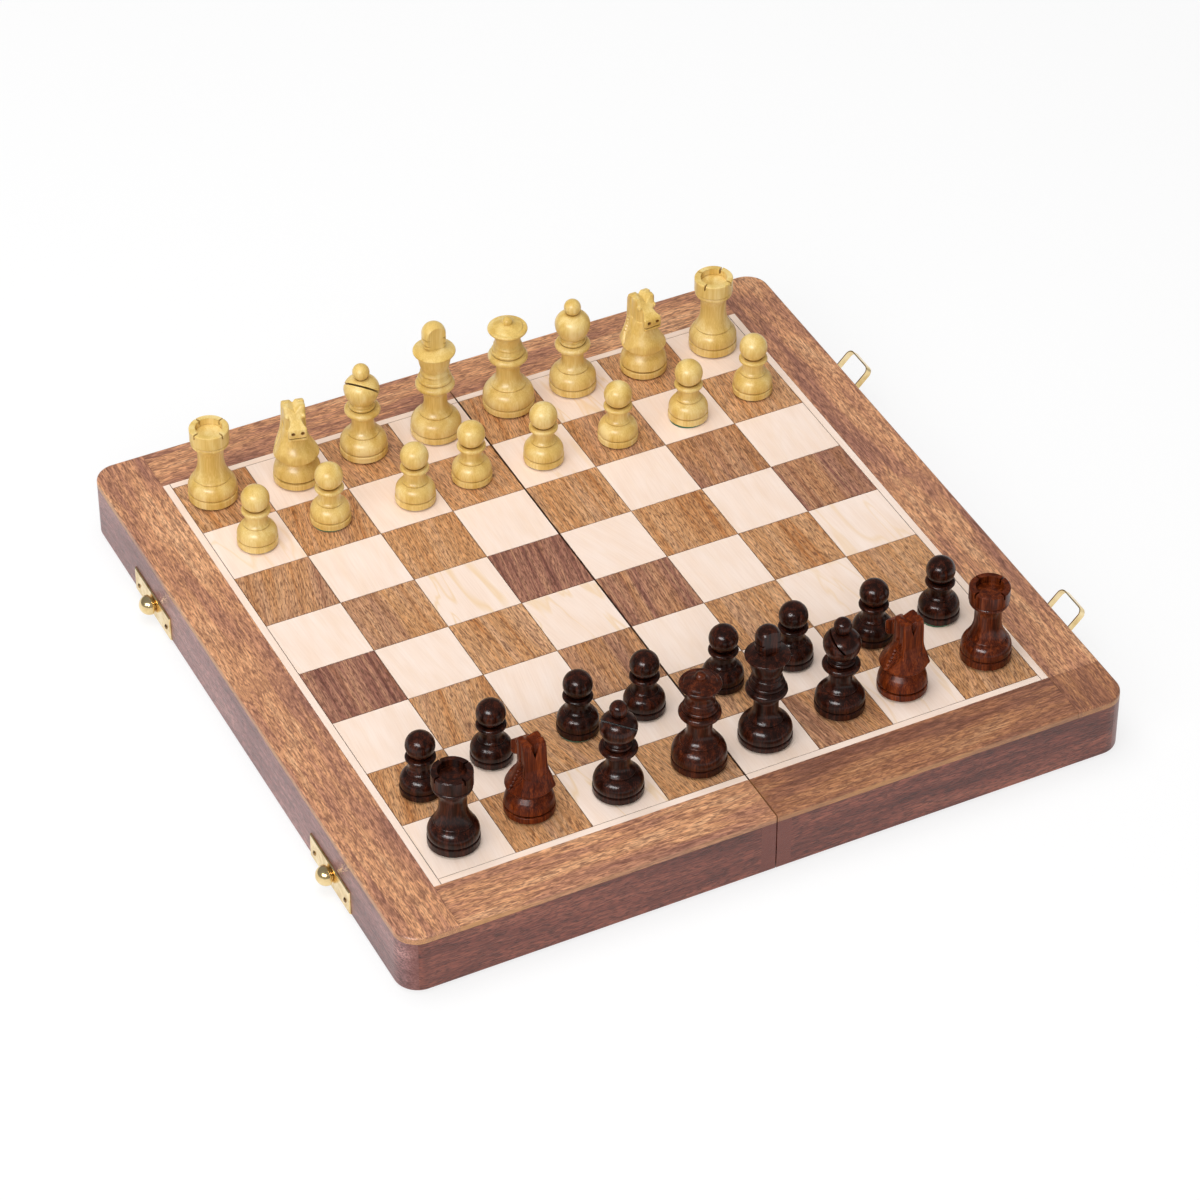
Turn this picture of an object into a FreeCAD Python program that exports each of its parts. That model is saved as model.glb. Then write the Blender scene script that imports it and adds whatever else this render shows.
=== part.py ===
import FreeCAD
import Part

import operator
import os
import types

import Sketcher

# Folding chess board with its men, in millimetres. Two shallow wooden trays are hinged along one
# edge, open side down, so that their backs make one playing field. Folded, the hollows meet and
# the brass bails hook the knobs.
#
# Frame: +X to the right, +Y to the back, +Z up. The origin lies on the table under the middle of
# the fold line.

DIMENSIONS = {
    # playing field and border
    "square": 31.6,
    "stringing": 3.1,
    "border": 22.5,
    "joint": 0.1,
    "seam": 0.5,
    # build-up of each half, from the rim to the playing surface
    "rail_height": 23.6,
    "rail_thick": 6.0,
    "strip_thick": 3.0,
    "panel_thick": 3.0,
    "lining_thick": 0.8,
    "sheet_thick": 0.5,
    # rounding of the whole board
    "corner_radius": 9.5,
    "edge_round": 1.2,
    "foot_round": 0.8,
    # butt hinges along the fold
    "hinge_spacing": 190.0,
    "leaf_length": 32.0,
    "leaf_thick": 0.8,
    "leaf_margin": 0.8,
    "knuckle_radius": 1.1,
    "knuckle_gap": 0.2,
    "knuckle_clearance": 0.25,
    "axis_drop": 0.1,
    "pin_radius": 0.5,
    "pin_head": 0.4,
    "running_gap": 0.05,
    "screw_spacing": 20.0,
    "screw_radius": 0.5,
    "screw_head": 1.0,
    "screw_length": 8.0,
    # catch plates and knobs on the left wall
    "catch_spacing": 173.0,
    "plate_length": 36.0,
    "plate_height": 11.0,
    "plate_thick": 0.8,
    "plate_base": 0.8,
    "plate_bevel": 0.4,
    "plate_nails": 28.0,
    "nail_height": 5.0,
    "nail_radius": 0.6,
    "nail_head": 1.2,
    "nail_dome": 0.5,
    "nail_length": 5.0,
    "knob_radius": 4.2,
    "knob_stem": 2.6,
    "knob_stem_length": 0.3,
    "knob_waist": 1.3,
    # bails and brackets on the right wall
    "bail_width": 16.0,
    "bail_length": 18.1,
    "bail_bend": 2.8,
    "bail_thick": 0.5,
    "bail_strip": 3.0,
    "bail_gap": 0.3,
    "bail_angle": 46.0,
    "bail_foot": 0.8,
    "bail_foot_length": 3.0,
    "pivot_height": 5.7,
    "bracket_length": 27.0,
    "bracket_height": 9.0,
    "bracket_nails": 21.0,
    "bracket_knuckle": 1.5,
    # what all the men share
    "felt_thick": 0.5,
    "felt_inset": 1.0,
    "magnet_radius": 4.0,
    "magnet_thick": 2.5,
    "foot_tuck": 0.4,
    "groove_width": 1.0,
    "groove_depth": 0.9,
    "bead_half": 0.5,
    "bead_bulge": 0.3,
    "lip_round": 0.8,
    "saw_cut": 0.8,
}

# Turned profiles: radii, and heights above the playing surface.
MEN_DIMENSIONS = {
    "pawn": {
        "base": 8.25, "groove": 3.6, "bead": 5.4, "bead_z": 10.5,
        "neck": 4.3, "neck_low": 13.2, "neck_high": 14.6,
        "collar": 5.9, "collar_z": 16.8, "collar_half": 1.0,
        "ball": 5.75, "ball_z": 22.5,
    },
    "rook": {
        "base": 10.0, "groove": 4.2, "bead": 7.6, "bead_z": 11.2,
        "neck": 5.3, "neck_low": 20.0, "neck_high": 21.5,
        "flare": 6.4, "flare_z": 26.6, "ring": 7.7, "ring_z": 27.9, "ring_half": 0.8,
        "cup": 8.0, "cup_z": 29.4, "well": 5.5, "well_z": 32.4, "top_z": 35.3, "cut_depth": 2.2,
    },
    "bishop": {
        "base": 9.8, "groove": 3.7, "bead": 6.6, "bead_z": 10.6,
        "neck": 4.6, "neck_low": 14.9, "neck_high": 17.6,
        "collar": 7.4, "collar_z": 21.4, "collar_half": 1.3,
        "ring": 5.4, "ring_z": 23.7, "ring_half": 0.8,
        "throat": 4.0, "throat_z": 25.1, "mitre": 7.3, "mitre_z": 32.1,
        "tip": 2.5, "tip_z": 37.2, "ball": 3.5, "ball_z": 40.1,
        "slit_z": 31.2, "slit_angle": 46.0, "slit_length": 14.0,
    },
    "queen": {
        "base": 10.7, "groove": 3.6, "bead": 7.5, "bead_z": 11.8,
        "neck": 4.9, "neck_low": 16.8, "neck_high": 20.2,
        "collar": 8.2, "collar_z": 25.2, "collar_half": 1.4,
        "ring": 6.9, "ring_z": 27.9, "ring_half": 0.9,
        "band": 5.9, "band_z": 30.9, "band_half": 0.8,
        "waist": 5.2, "waist_z": 32.5,
        "crown": 8.2, "crown_z": 38.9, "crown_half": 0.7, "crown_step": 6.0, "crown_step_z": 40.2,
        "ridge": 3.6, "ridge_z": 40.8, "ball": 2.2, "ball_z": 42.2,
    },
    "king": {
        "base": 10.5, "groove": 3.4, "bead": 6.8, "bead_z": 11.0,
        "neck": 4.8, "neck_low": 16.2, "neck_high": 19.6,
        "collar": 8.1, "collar_z": 24.8, "collar_half": 1.4,
        "ring": 7.0, "ring_z": 27.8, "ring_half": 0.9,
        "band": 6.0, "band_z": 30.9, "band_half": 0.8,
        "waist": 5.3, "waist_z": 32.4, "cup": 6.7, "cup_z": 39.5,
        "crown": 8.7, "crown_z": 41.2, "crown_half": 0.6, "seat": 4.1, "seat_z": 43.6,
        "finial": 4.95, "finial_z": 50.0, "notch_z": 45.7, "notch_pitch": 2.7,
        "notch_half": 0.6, "notch_depth": 1.1, "flat_half": 3.0,
    },
    "knight": {
        "base": 9.8, "groove": 3.95, "waist": 6.9, "waist_z": 10.7,
        "bell": 9.3, "bell_z": 13.5, "chest": 6.9, "chest_z": 20.0,
        "neck_low": 12.5, "foot_half": 7.8, "poll_half": 4.6,
        "back": 6.4, "back_z": 30.0, "nape": 4.8, "nape_z": 35.8,
        "ear": 0.9, "head_top": 36.7, "brow": 2.0, "brow_z": 34.5,
        "nose": 8.0, "nose_z": 28.8, "muzzle": 8.7, "muzzle_low": 23.6, "muzzle_high": 27.2,
        "chin": 6.7, "chin_z": 22.4, "throat": 3.8, "throat_z": 22.9,
        "cheek_x": 1.0, "cheek_half": 5.7, "cheek_low": 21.0, "cheek_angle": 15.0,
        "ear_cut_z": 35.1, "ear_cut": 5.0,
    },
}

SQUARES_ACROSS = 8
HALF_SQUARES = SQUARES_ACROSS // 2
KNUCKLES = 5
SIDES = {"left": -1, "right": 1}
ENDS = {"front": -1, "rear": 1}

LIGHT_ROW = 7
LIGHT_PAWN_ROW = 6
DARK_ROW = 0
DARK_PAWN_ROW = 1

# Each man's own place: kind, column, row, how far it was set down off the square's centre (x, y),
# and its turn.
MEN = {
    "light_rook_left": ("rook", 0, LIGHT_ROW, -3.0, 4.0, 20.0),
    "light_knight_left": ("knight", 1, LIGHT_ROW, 0.5, 0.0, 251.0),
    "light_bishop_left": ("bishop", 2, LIGHT_ROW, 0.0, 4.0, 223.0),
    "light_king": ("king", 3, LIGHT_ROW, 0.0, 2.5, 0.0),
    "light_queen": ("queen", 4, LIGHT_ROW, 2.0, 5.5, 0.0),
    "light_bishop_right": ("bishop", 5, LIGHT_ROW, -0.5, 5.0, 45.0),
    "light_knight_right": ("knight", 6, LIGHT_ROW, -0.5, 3.0, 262.0),
    "light_rook_right": ("rook", 7, LIGHT_ROW, 0.5, 3.5, 35.0),
    "light_pawn_1": ("pawn", 0, LIGHT_PAWN_ROW, 1.5, 1.0, 0.0),
    "light_pawn_2": ("pawn", 1, LIGHT_PAWN_ROW, 1.5, 1.0, 0.0),
    "light_pawn_3": ("pawn", 2, LIGHT_PAWN_ROW, 5.5, -2.5, 0.0),
    "light_pawn_4": ("pawn", 3, LIGHT_PAWN_ROW, 0.0, 0.0, 0.0),
    "light_pawn_5": ("pawn", 4, LIGHT_PAWN_ROW, -1.0, -2.0, 0.0),
    "light_pawn_6": ("pawn", 5, LIGHT_PAWN_ROW, 0.5, -3.0, 0.0),
    "light_pawn_7": ("pawn", 6, LIGHT_PAWN_ROW, 1.0, -3.0, 0.0),
    "light_pawn_8": ("pawn", 7, LIGHT_PAWN_ROW, 1.0, 0.5, 0.0),
    "dark_rook_left": ("rook", 0, DARK_ROW, -2.0, 0.0, 12.0),
    "dark_knight_left": ("knight", 1, DARK_ROW, -1.0, 3.5, 90.0),
    "dark_bishop_left": ("bishop", 2, DARK_ROW, 1.5, -2.0, 222.0),
    "dark_queen": ("queen", 3, DARK_ROW, 4.0, -1.5, 0.0),
    "dark_king": ("king", 4, DARK_ROW, 0.5, -0.5, 0.0),
    "dark_bishop_right": ("bishop", 5, DARK_ROW, 2.5, 2.5, 160.0),
    "dark_knight_right": ("knight", 6, DARK_ROW, -2.5, 1.5, 104.0),
    "dark_rook_right": ("rook", 7, DARK_ROW, 3.5, 3.0, 15.0),
    "dark_pawn_1": ("pawn", 0, DARK_PAWN_ROW, -1.0, -1.0, 0.0),
    "dark_pawn_2": ("pawn", 1, DARK_PAWN_ROW, -1.5, 3.5, 0.0),
    "dark_pawn_3": ("pawn", 2, DARK_PAWN_ROW, 3.0, 3.5, 0.0),
    "dark_pawn_4": ("pawn", 3, DARK_PAWN_ROW, -1.0, 2.5, 0.0),
    "dark_pawn_5": ("pawn", 4, DARK_PAWN_ROW, 0.5, 2.5, 0.0),
    "dark_pawn_6": ("pawn", 5, DARK_PAWN_ROW, -1.0, 2.5, 0.0),
    "dark_pawn_7": ("pawn", 6, DARK_PAWN_ROW, 1.5, 0.5, 0.0),
    "dark_pawn_8": ("pawn", 7, DARK_PAWN_ROW, -0.5, 1.0, 0.0),
}

X_AXIS = FreeCAD.Vector(1, 0, 0)
Y_AXIS = FreeCAD.Vector(0, 1, 0)
Z_AXIS = FreeCAD.Vector(0, 0, 1)

# The sine and cosine of a 3-4-5 triangle, of a 7-24-25 triangle and of 45 degrees, for points that
# lie on a circle.
SHORT_LEG = 0.6
LONG_LEG = 0.8
SLIGHT_LEG = 0.28
STEEP_LEG = 0.96
DIAGONAL = 0.5 ** 0.5

# How far along each curve its middle point lies: the share of the change in radius, then in height.
HOLLOW_BEND = (0.3, 0.6)
SHAFT_BEND = (0.32, 0.4)
CUP_BEND = (0.7, 0.42)
MITRE_LOW_BEND = (0.74, 0.45)
MITRE_HIGH_BEND = (0.3, 0.65)

QUARTER_TURN = 90.0
EIGHTH_TURN = 45.0


class Size:
    """A length that carries its value and the sheet expression that it comes from."""

    def __init__(self, value, text):
        self.value = value
        self.text = text

    def __add__(self, other):
        return joined(operator.add, "+", self, other)

    def __radd__(self, other):
        return joined(operator.add, "+", other, self)

    def __sub__(self, other):
        return joined(operator.sub, "-", self, other)

    def __rsub__(self, other):
        return joined(operator.sub, "-", other, self)

    def __mul__(self, other):
        return joined(operator.mul, "*", self, other)

    def __rmul__(self, other):
        return joined(operator.mul, "*", other, self)

    def __truediv__(self, other):
        return joined(operator.truediv, "/", self, other)

    def __neg__(self):
        return joined(operator.mul, "*", -1, self)


def as_size(number):
    """A plain number as a Size; a Size as it is."""
    if isinstance(number, Size):
        return number
    return Size(float(number), f"({float(number)})")


def joined(operation, sign, left, right):
    """Two sizes combined, both in value and in words."""
    left = as_size(left)
    right = as_size(right)
    return Size(operation(left.value, right.value), f"({left.text} {sign} {right.text})")


doc = FreeCAD.newDocument("folding_chess_board")
sheet = doc.addObject("Spreadsheet::Sheet", "dims")
dim = types.SimpleNamespace()
nodes = {}


def fill_sheet():
    """Write every driving dimension to its own named cell."""
    cells = dict(DIMENSIONS)
    for kind, sizes in MEN_DIMENSIONS.items():
        for word, value in sizes.items():
            cells[f"{kind}_{word}"] = value
    for name, (kind, column, row, shift_x, shift_y, turn) in MEN.items():
        cells[f"{name}_shift_x"] = shift_x
        cells[f"{name}_shift_y"] = shift_y
        cells[f"{name}_turn"] = turn
    for row, (alias, value) in enumerate(cells.items(), start=1):
        sheet.set(f"A{row}", alias.replace("_", " "))
        sheet.set(f"B{row}", str(value))
        sheet.setAlias(f"B{row}", alias)
        setattr(dim, alias, Size(value, f"dims.{alias}"))
    doc.recompute()


def man_sizes(kind):
    """The sizes of one kind of man, by word."""
    sizes = {word: getattr(dim, f"{kind}_{word}") for word in MEN_DIMENSIONS[kind]}
    return types.SimpleNamespace(**sizes)


def bind(thing, path, size):
    """Tie one property to the sheet."""
    thing.setExpression(path, as_size(size).text)


def place(thing, x, y, z, axis=Z_AXIS, angle=0.0):
    """Bind a position, with a fixed or bound turn about one axis."""
    turn = as_size(angle)
    thing.Placement = FreeCAD.Placement(FreeCAD.Vector(), FreeCAD.Rotation(axis, turn.value))
    if isinstance(angle, Size):
        bind(thing, "Placement.Rotation.Angle", turn)
    for letter, size in zip("xyz", (x, y, z)):
        bind(thing, f"Placement.Base.{letter}", size)


def block(name, low, high):
    """A box between two opposite corners."""
    made = doc.addObject("Part::Box", name)
    for side, start, end in zip(("Length", "Width", "Height"), low, high):
        bind(made, side, as_size(end) - start)
    place(made, *low)
    return made


def rod(name, start, radius, length, axis=Z_AXIS, angle=0.0):
    """A cylinder that starts at a point and runs along the turned Z axis."""
    made = doc.addObject("Part::Cylinder", name)
    bind(made, "Radius", radius)
    bind(made, "Height", length)
    place(made, *start, axis, angle)
    return made


def cone(name, start, low_radius, high_radius, length):
    """A truncated cone that stands on a point."""
    made = doc.addObject("Part::Cone", name)
    bind(made, "Radius1", low_radius)
    bind(made, "Radius2", high_radius)
    bind(made, "Height", length)
    place(made, *start)
    return made


def cut(name, base, tool):
    made = doc.addObject("Part::Cut", name)
    made.Base = base
    made.Tool = tool
    return made


def common(name, shapes):
    made = doc.addObject("Part::MultiCommon", name)
    made.Shapes = shapes
    return made


def fuse(name, shapes):
    made = doc.addObject("Part::MultiFuse", name)
    made.Shapes = shapes
    return made


def group(name, pieces):
    made = doc.addObject("Part::Compound", name)
    made.Links = pieces
    return made


def copy_of(name, master, x, y, z, axis=Z_AXIS, angle=0.0):
    """A master shape set down at another place."""
    made = group(name, [master])
    place(made, x, y, z, axis, angle)
    return made


def keep(name, piece):
    """Name a finished sub-part."""
    piece.Label = name
    nodes[name] = piece
    return piece


def sketch_outline(body, plane, steps):
    """Draw a closed outline whose every corner is bound to the sheet.

    A step is a corner (u, v), reached by a straight line, or (u, v, mid_u, mid_v), reached by an
    arc through the middle point. The last corner joins the first by a straight line.
    """
    sketch = body.newObject("Sketcher::SketchObject", f"{body.Name}_outline")
    support = next(feature for feature in body.Origin.OriginFeatures if feature.Role == plane)
    sketch.AttachmentSupport = [(support, "")]
    sketch.MapMode = "FlatFace"
    steps = [tuple(as_size(number) for number in step) for step in steps]
    corners = [FreeCAD.Vector(step[0].value, step[1].value, 0) for step in steps]
    count = len(steps)
    ends = []
    constraints = []
    bindings = {}

    def pin_point(geometry, position, u, v):
        for kind, size in (("DistanceX", u), ("DistanceY", v)):
            bindings[len(constraints)] = size.text
            constraints.append(Sketcher.Constraint(kind, -1, 1, geometry, position, size.value))

    for index in range(count):
        start = corners[index]
        end = corners[(index + 1) % count]
        target = steps[(index + 1) % count]
        if len(target) == 2:
            edge = sketch.addGeometry(Part.LineSegment(start, end))
            ends.append((edge, 1, 2))
            continue
        middle = FreeCAD.Vector(target[2].value, target[3].value, 0)
        leftward = (middle - start).cross(end - middle).z > 0
        if leftward:
            edge = sketch.addGeometry(Part.Arc(start, middle, end))
            ends.append((edge, 1, 2))
        else:
            edge = sketch.addGeometry(Part.Arc(end, middle, start))
            ends.append((edge, 2, 1))
        mark = sketch.addGeometry(Part.Point(middle), True)
        pin_point(mark, 1, target[2], target[3])
        constraints.append(Sketcher.Constraint("PointOnObject", mark, 1, edge))
    for index in range(count):
        edge, first, last = ends[index]
        next_edge, next_first, next_last = ends[(index + 1) % count]
        constraints.append(Sketcher.Constraint("Coincident", edge, last, next_edge, next_first))
        pin_point(edge, first, steps[index][0], steps[index][1])
    sketch.addConstraint(constraints)
    for number, text in bindings.items():
        sketch.setExpression(f"Constraints[{number}]", text)
    return sketch


def turned(name, steps):
    """A body of revolution about Z."""
    body = doc.addObject("PartDesign::Body", name)
    sketch = sketch_outline(body, "XZ_Plane", steps)
    turn = body.newObject("PartDesign::Revolution", f"{name}_turning")
    turn.Profile = sketch
    turn.ReferenceAxis = (sketch, ["V_Axis"])
    turn.Angle = 360
    return body


def sawn(name, plane, steps, thickness, symmetric=True):
    """An outline given a thickness, to one side of its plane or half to each side."""
    body = doc.addObject("PartDesign::Body", name)
    sketch = sketch_outline(body, plane, steps)
    pad = body.newObject("PartDesign::Pad", f"{name}_pad")
    pad.Profile = sketch
    if symmetric:
        pad.SideType = "Symmetric"
    bind(pad, "Length", thickness)
    return body


def flat_edges(shape, level):
    """Names of the edges that lie in one horizontal plane."""
    names = []
    for number, edge in enumerate(shape.Edges, start=1):
        box = edge.BoundBox
        if abs(box.ZMin - level) < 1e-6 and abs(box.ZMax - level) < 1e-6:
            names.append(f"Edge{number}")
    return names


def upright_edges(shape):
    """Names of the vertical edges."""
    edges = enumerate(shape.Edges, start=1)
    return [f"Edge{number}" for number, edge in edges if edge.BoundBox.ZLength > 1e-6]


def rounded(body, name, edges, radius):
    """Round some edges of a body's last feature."""
    base = body.Tip
    fillet = body.newObject("PartDesign::Fillet", name)
    fillet.Base = (base, edges)
    bind(fillet, "Radius", radius)
    doc.recompute()
    return fillet


fill_sheet()

# Levels and reaches that the pieces share, measured from the fold line, the middle and the table.
near_x = dim.seam / 2
field_x = near_x + HALF_SQUARES * dim.square
string_x = field_x + dim.stringing
edge_x = string_x + dim.border
field_y = HALF_SQUARES * dim.square
string_y = field_y + dim.stringing
edge_y = string_y + dim.border
axis_z = dim.knuckle_radius
rim_z = axis_z + dim.axis_drop
rail_top = rim_z + dim.rail_height
tile_low = rail_top + dim.sheet_thick
top_z = rail_top + dim.strip_thick
panel_low = rail_top - dim.panel_thick
lining_low = panel_low - dim.lining_thick
hinge_y = dim.hinge_spacing / 2
catch_y = dim.catch_spacing / 2
plate_low = rim_z + dim.plate_base
pivot_z = rim_z + dim.pivot_height
pivot_x = edge_x + dim.plate_thick + dim.bail_strip / 2 + dim.bail_gap


def mirrored(side, low, high):
    """The two ends of an interval on the left or the right of the fold line, in rising order."""
    if side > 0:
        return as_size(low), as_size(high)
    return -as_size(high), -as_size(low)


def half_block(name, side, x_range, y_range, z_range):
    """A box on one side of the fold line."""
    low_x, high_x = mirrored(side, *x_range)
    return block(name, (low_x, y_range[0], z_range[0]), (high_x, y_range[1], z_range[1]))


def board_outline():
    """The outside of the open board, with its rounded corners and softened edges."""
    body = doc.addObject("PartDesign::Body", "board_outline")
    corners = [(-edge_x, -edge_y), (edge_x, -edge_y), (edge_x, edge_y), (-edge_x, edge_y)]
    pad = body.newObject("PartDesign::Pad", "board_pad")
    pad.Profile = sketch_outline(body, "XY_Plane", corners)
    height = dim.rail_height + dim.strip_thick
    bind(pad, "Length", height)
    doc.recompute()
    rounded(body, "board_corners", upright_edges(pad.Shape), dim.corner_radius)
    rounded(body, "board_top_edge", flat_edges(body.Shape, height.value), dim.edge_round)
    rounded(body, "board_foot_edge", flat_edges(body.Shape, 0.0), dim.foot_round)
    place(body, 0, 0, rim_z)
    return body


def wire_nail():
    """A nail with a domed head, its seat at the origin and its point down."""
    shank = rod("nail_shank", (0, 0, -dim.nail_length), dim.nail_radius, dim.nail_length)
    head = cone("nail_head", (0, 0, 0), dim.nail_head, dim.nail_radius, dim.nail_dome)
    return fuse("wire_nail", [shank, head])


def wood_screw():
    """A countersunk screw, its head flush at the origin and its point up."""
    shank = rod("screw_shank", (0, 0, 0), dim.screw_radius, dim.screw_length)
    head = cone("screw_head", (0, 0, 0), dim.screw_head, dim.screw_radius, dim.leaf_thick)
    return fuse("wood_screw", [shank, head])


def wall_nails(name, side, spacing, nail):
    """The nails of the two plates on one side wall."""
    face_x = side * (edge_x + dim.plate_thick)
    nails = []
    for end_name, end in ENDS.items():
        for step in (-1, 1):
            y = end * catch_y + step * spacing / 2
            label = f"{name}_{end_name}_{len(nails) + 1}"
            nails.append(copy_of(label, nail, face_x, y, rim_z + dim.nail_height,
                                 Y_AXIS, QUARTER_TURN * side))
    return nails


leaf_start = dim.knuckle_radius + dim.knuckle_gap
leaf_end = near_x + dim.rail_thick - dim.leaf_margin
knuckle_length = (dim.leaf_length - (KNUCKLES - 1) * dim.knuckle_gap) / KNUCKLES


def hinge_screws(name, side, screw):
    """The screws of the two hinge leaves on one side of the fold."""
    screws = []
    x = side * (leaf_start + leaf_end) / 2
    for end in ENDS.values():
        for step in (-1, 1):
            y = end * hinge_y + step * dim.screw_spacing / 2
            screws.append(copy_of(f"{name}_{len(screws) + 1}", screw, x, y, rim_z))
    return screws


def hinge_leaf(name, side, middle, first_knuckle, bore_radius):
    """One leaf with its knuckles, flush in the rim of the spine rail."""
    low_y = middle - dim.leaf_length / 2
    high_y = middle + dim.leaf_length / 2
    plate = half_block(f"{name}_plate", side, (leaf_start, leaf_end), (low_y, high_y),
                       (rim_z, rim_z + dim.leaf_thick))
    pieces = [plate]
    for number in range(first_knuckle, KNUCKLES, 2):
        start = low_y + number * (knuckle_length + dim.knuckle_gap)
        pieces.append(rod(f"{name}_knuckle_{number}", (0, start, axis_z), dim.knuckle_radius,
                          knuckle_length, X_AXIS, -QUARTER_TURN))
        pieces.append(half_block(f"{name}_tab_{number}", side, (0, leaf_start),
                                 (start, start + knuckle_length), (rim_z, rim_z + dim.leaf_thick)))
    bore = rod(f"{name}_bore", (0, low_y, axis_z), bore_radius, dim.leaf_length, X_AXIS, -QUARTER_TURN)
    return cut(name, fuse(f"{name}_solid", pieces), bore)


def hinge_pin(name, middle):
    """A pin with a small head at each end."""
    low_y = middle - dim.leaf_length / 2
    shank = rod(f"{name}_shank", (0, low_y, axis_z), dim.pin_radius, dim.leaf_length,
                X_AXIS, -QUARTER_TURN)
    head_radius = dim.knuckle_radius - dim.axis_drop
    heads = [
        rod(f"{name}_front_head", (0, low_y - dim.pin_head, axis_z), head_radius, dim.pin_head,
            X_AXIS, -QUARTER_TURN),
        rod(f"{name}_rear_head", (0, low_y + dim.leaf_length, axis_z), head_radius, dim.pin_head,
            X_AXIS, -QUARTER_TURN),
    ]
    return fuse(name, [shank] + heads)


def hinge_pockets(name, side):
    """Room in a spine rail for the leaves, and a channel for the knuckles of both halves."""
    pockets = []
    reach = dim.knuckle_radius + dim.knuckle_clearance
    for end_name, end in ENDS.items():
        low_y = end * hinge_y - dim.leaf_length / 2
        high_y = end * hinge_y + dim.leaf_length / 2
        slack = dim.pin_head + dim.knuckle_clearance
        pockets.append(half_block(f"{name}_{end_name}_channel", side, (0, reach),
                                  (low_y - slack, high_y + slack), (0, axis_z + reach)))
        pockets.append(half_block(f"{name}_{end_name}_mortise", side, (0, leaf_end), (low_y, high_y),
                                  (0, rim_z + dim.leaf_thick)))
    return group(name, pockets)


def fitted(name, piece, tools):
    """A piece with room cut for the tools, which stay as pieces of their own."""
    return cut(name, piece, group(f"{name}_tools", tools))


def half_board(word, side, outline, screws, nails):
    """Rails, panel, lining, steel sheet, tiles, stringing and border of one half."""
    inner = near_x + dim.rail_thick
    wall = edge_x - dim.rail_thick
    end_wall = edge_y - dim.rail_thick
    rail_z = (rim_z, rail_top)
    strip_z = (rail_top, top_z)
    tile_z = (tile_low, top_z)

    def trimmed(name, x_range, y_range, z_range):
        raw = half_block(f"{name}_blank", side, x_range, y_range, z_range)
        return common(f"{name}_trimmed", [raw, outline])

    side_rail = trimmed(f"{word}_side", (wall, edge_x), (-edge_y, edge_y), rail_z)
    keep(f"{word}_side_rail", fitted(f"{word}_side_nailed", side_rail, nails))
    spine = trimmed(f"{word}_spine", (near_x, inner), (-edge_y, edge_y), rail_z)
    spine = cut(f"{word}_spine_mortised", spine, hinge_pockets(f"{word}_pockets", side))
    keep(f"{word}_spine_rail", fitted(f"{word}_spine_screwed", spine, screws))
    ends = [
        trimmed(f"{word}_front_rail", (inner, wall), (-edge_y, -end_wall), rail_z),
        trimmed(f"{word}_rear_rail", (inner, wall), (end_wall, edge_y), rail_z),
    ]
    keep(f"{word}_end_rails", group(f"{word}_ends", ends))

    inside = ((inner, wall), (-end_wall, end_wall))
    keep(f"{word}_panel", half_block(f"{word}_bottom", side, *inside, (panel_low, rail_top)))
    keep(f"{word}_lining", half_block(f"{word}_felt", side, *inside, (lining_low, panel_low)))
    keep(f"{word}_steel_sheet", half_block(f"{word}_steel", side, (near_x, string_x), (-string_y, string_y),
                                           (rail_top, tile_low)))
    strips = [
        trimmed(f"{word}_side_strip", (string_x, edge_x), (-edge_y, edge_y), strip_z),
        trimmed(f"{word}_front_strip", (near_x, string_x - dim.joint), (-edge_y, -string_y), strip_z),
        trimmed(f"{word}_rear_strip", (near_x, string_x - dim.joint), (string_y, edge_y), strip_z),
    ]
    keep(f"{word}_border_strips", group(f"{word}_strips", strips))

    line = dim.joint / 2
    inlay = [
        half_block(f"{word}_side_string", side, (field_x + line, string_x),
                   (-string_y, string_y), tile_z),
        half_block(f"{word}_front_string", side, (near_x, field_x - line),
                   (-string_y, -field_y - line), tile_z),
        half_block(f"{word}_rear_string", side, (near_x, field_x - line),
                   (field_y + line, string_y), tile_z),
    ]
    dark_tiles = []
    for step in range(HALF_SQUARES):
        column = HALF_SQUARES + step if side > 0 else HALF_SQUARES - 1 - step
        x_range = (near_x + dim.square * step + line, near_x + dim.square * (step + 1) - line)
        for row in range(SQUARES_ACROSS):
            low_y = dim.square * (row - HALF_SQUARES)
            y_range = (low_y + line, low_y + dim.square - line)
            tile = half_block(f"{word}_tile_{column + 1}_{row + 1}", side, x_range, y_range, tile_z)
            if (column + row) % 2:
                dark_tiles.append(tile)
            else:
                inlay.append(tile)
    keep(f"{word}_dark_squares", group(f"{word}_dark_tiles", dark_tiles))
    keep(f"{word}_maple_inlay", group(f"{word}_light_tiles", inlay))


def hinges():
    """Two butt hinges: leaves on each half, and the pins they turn on."""
    for word, side in SIDES.items():
        first_knuckle = 0 if side < 0 else 1
        bore = dim.pin_radius if side < 0 else dim.pin_radius + dim.running_gap
        leaves = [hinge_leaf(f"{word}_{end_name}_leaf", side, end * hinge_y, first_knuckle, bore)
                  for end_name, end in ENDS.items()]
        pair = group(f"{word}_leaves", leaves)
        keep(f"{word}_hinge_leaves", fitted(f"{word}_leaves_drilled", pair, hinge_screw_sets[word]))
    pins = [hinge_pin(f"{end_name}_pin", end * hinge_y) for end_name, end in ENDS.items()]
    keep("hinge_pins", group("pins", pins))


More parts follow.
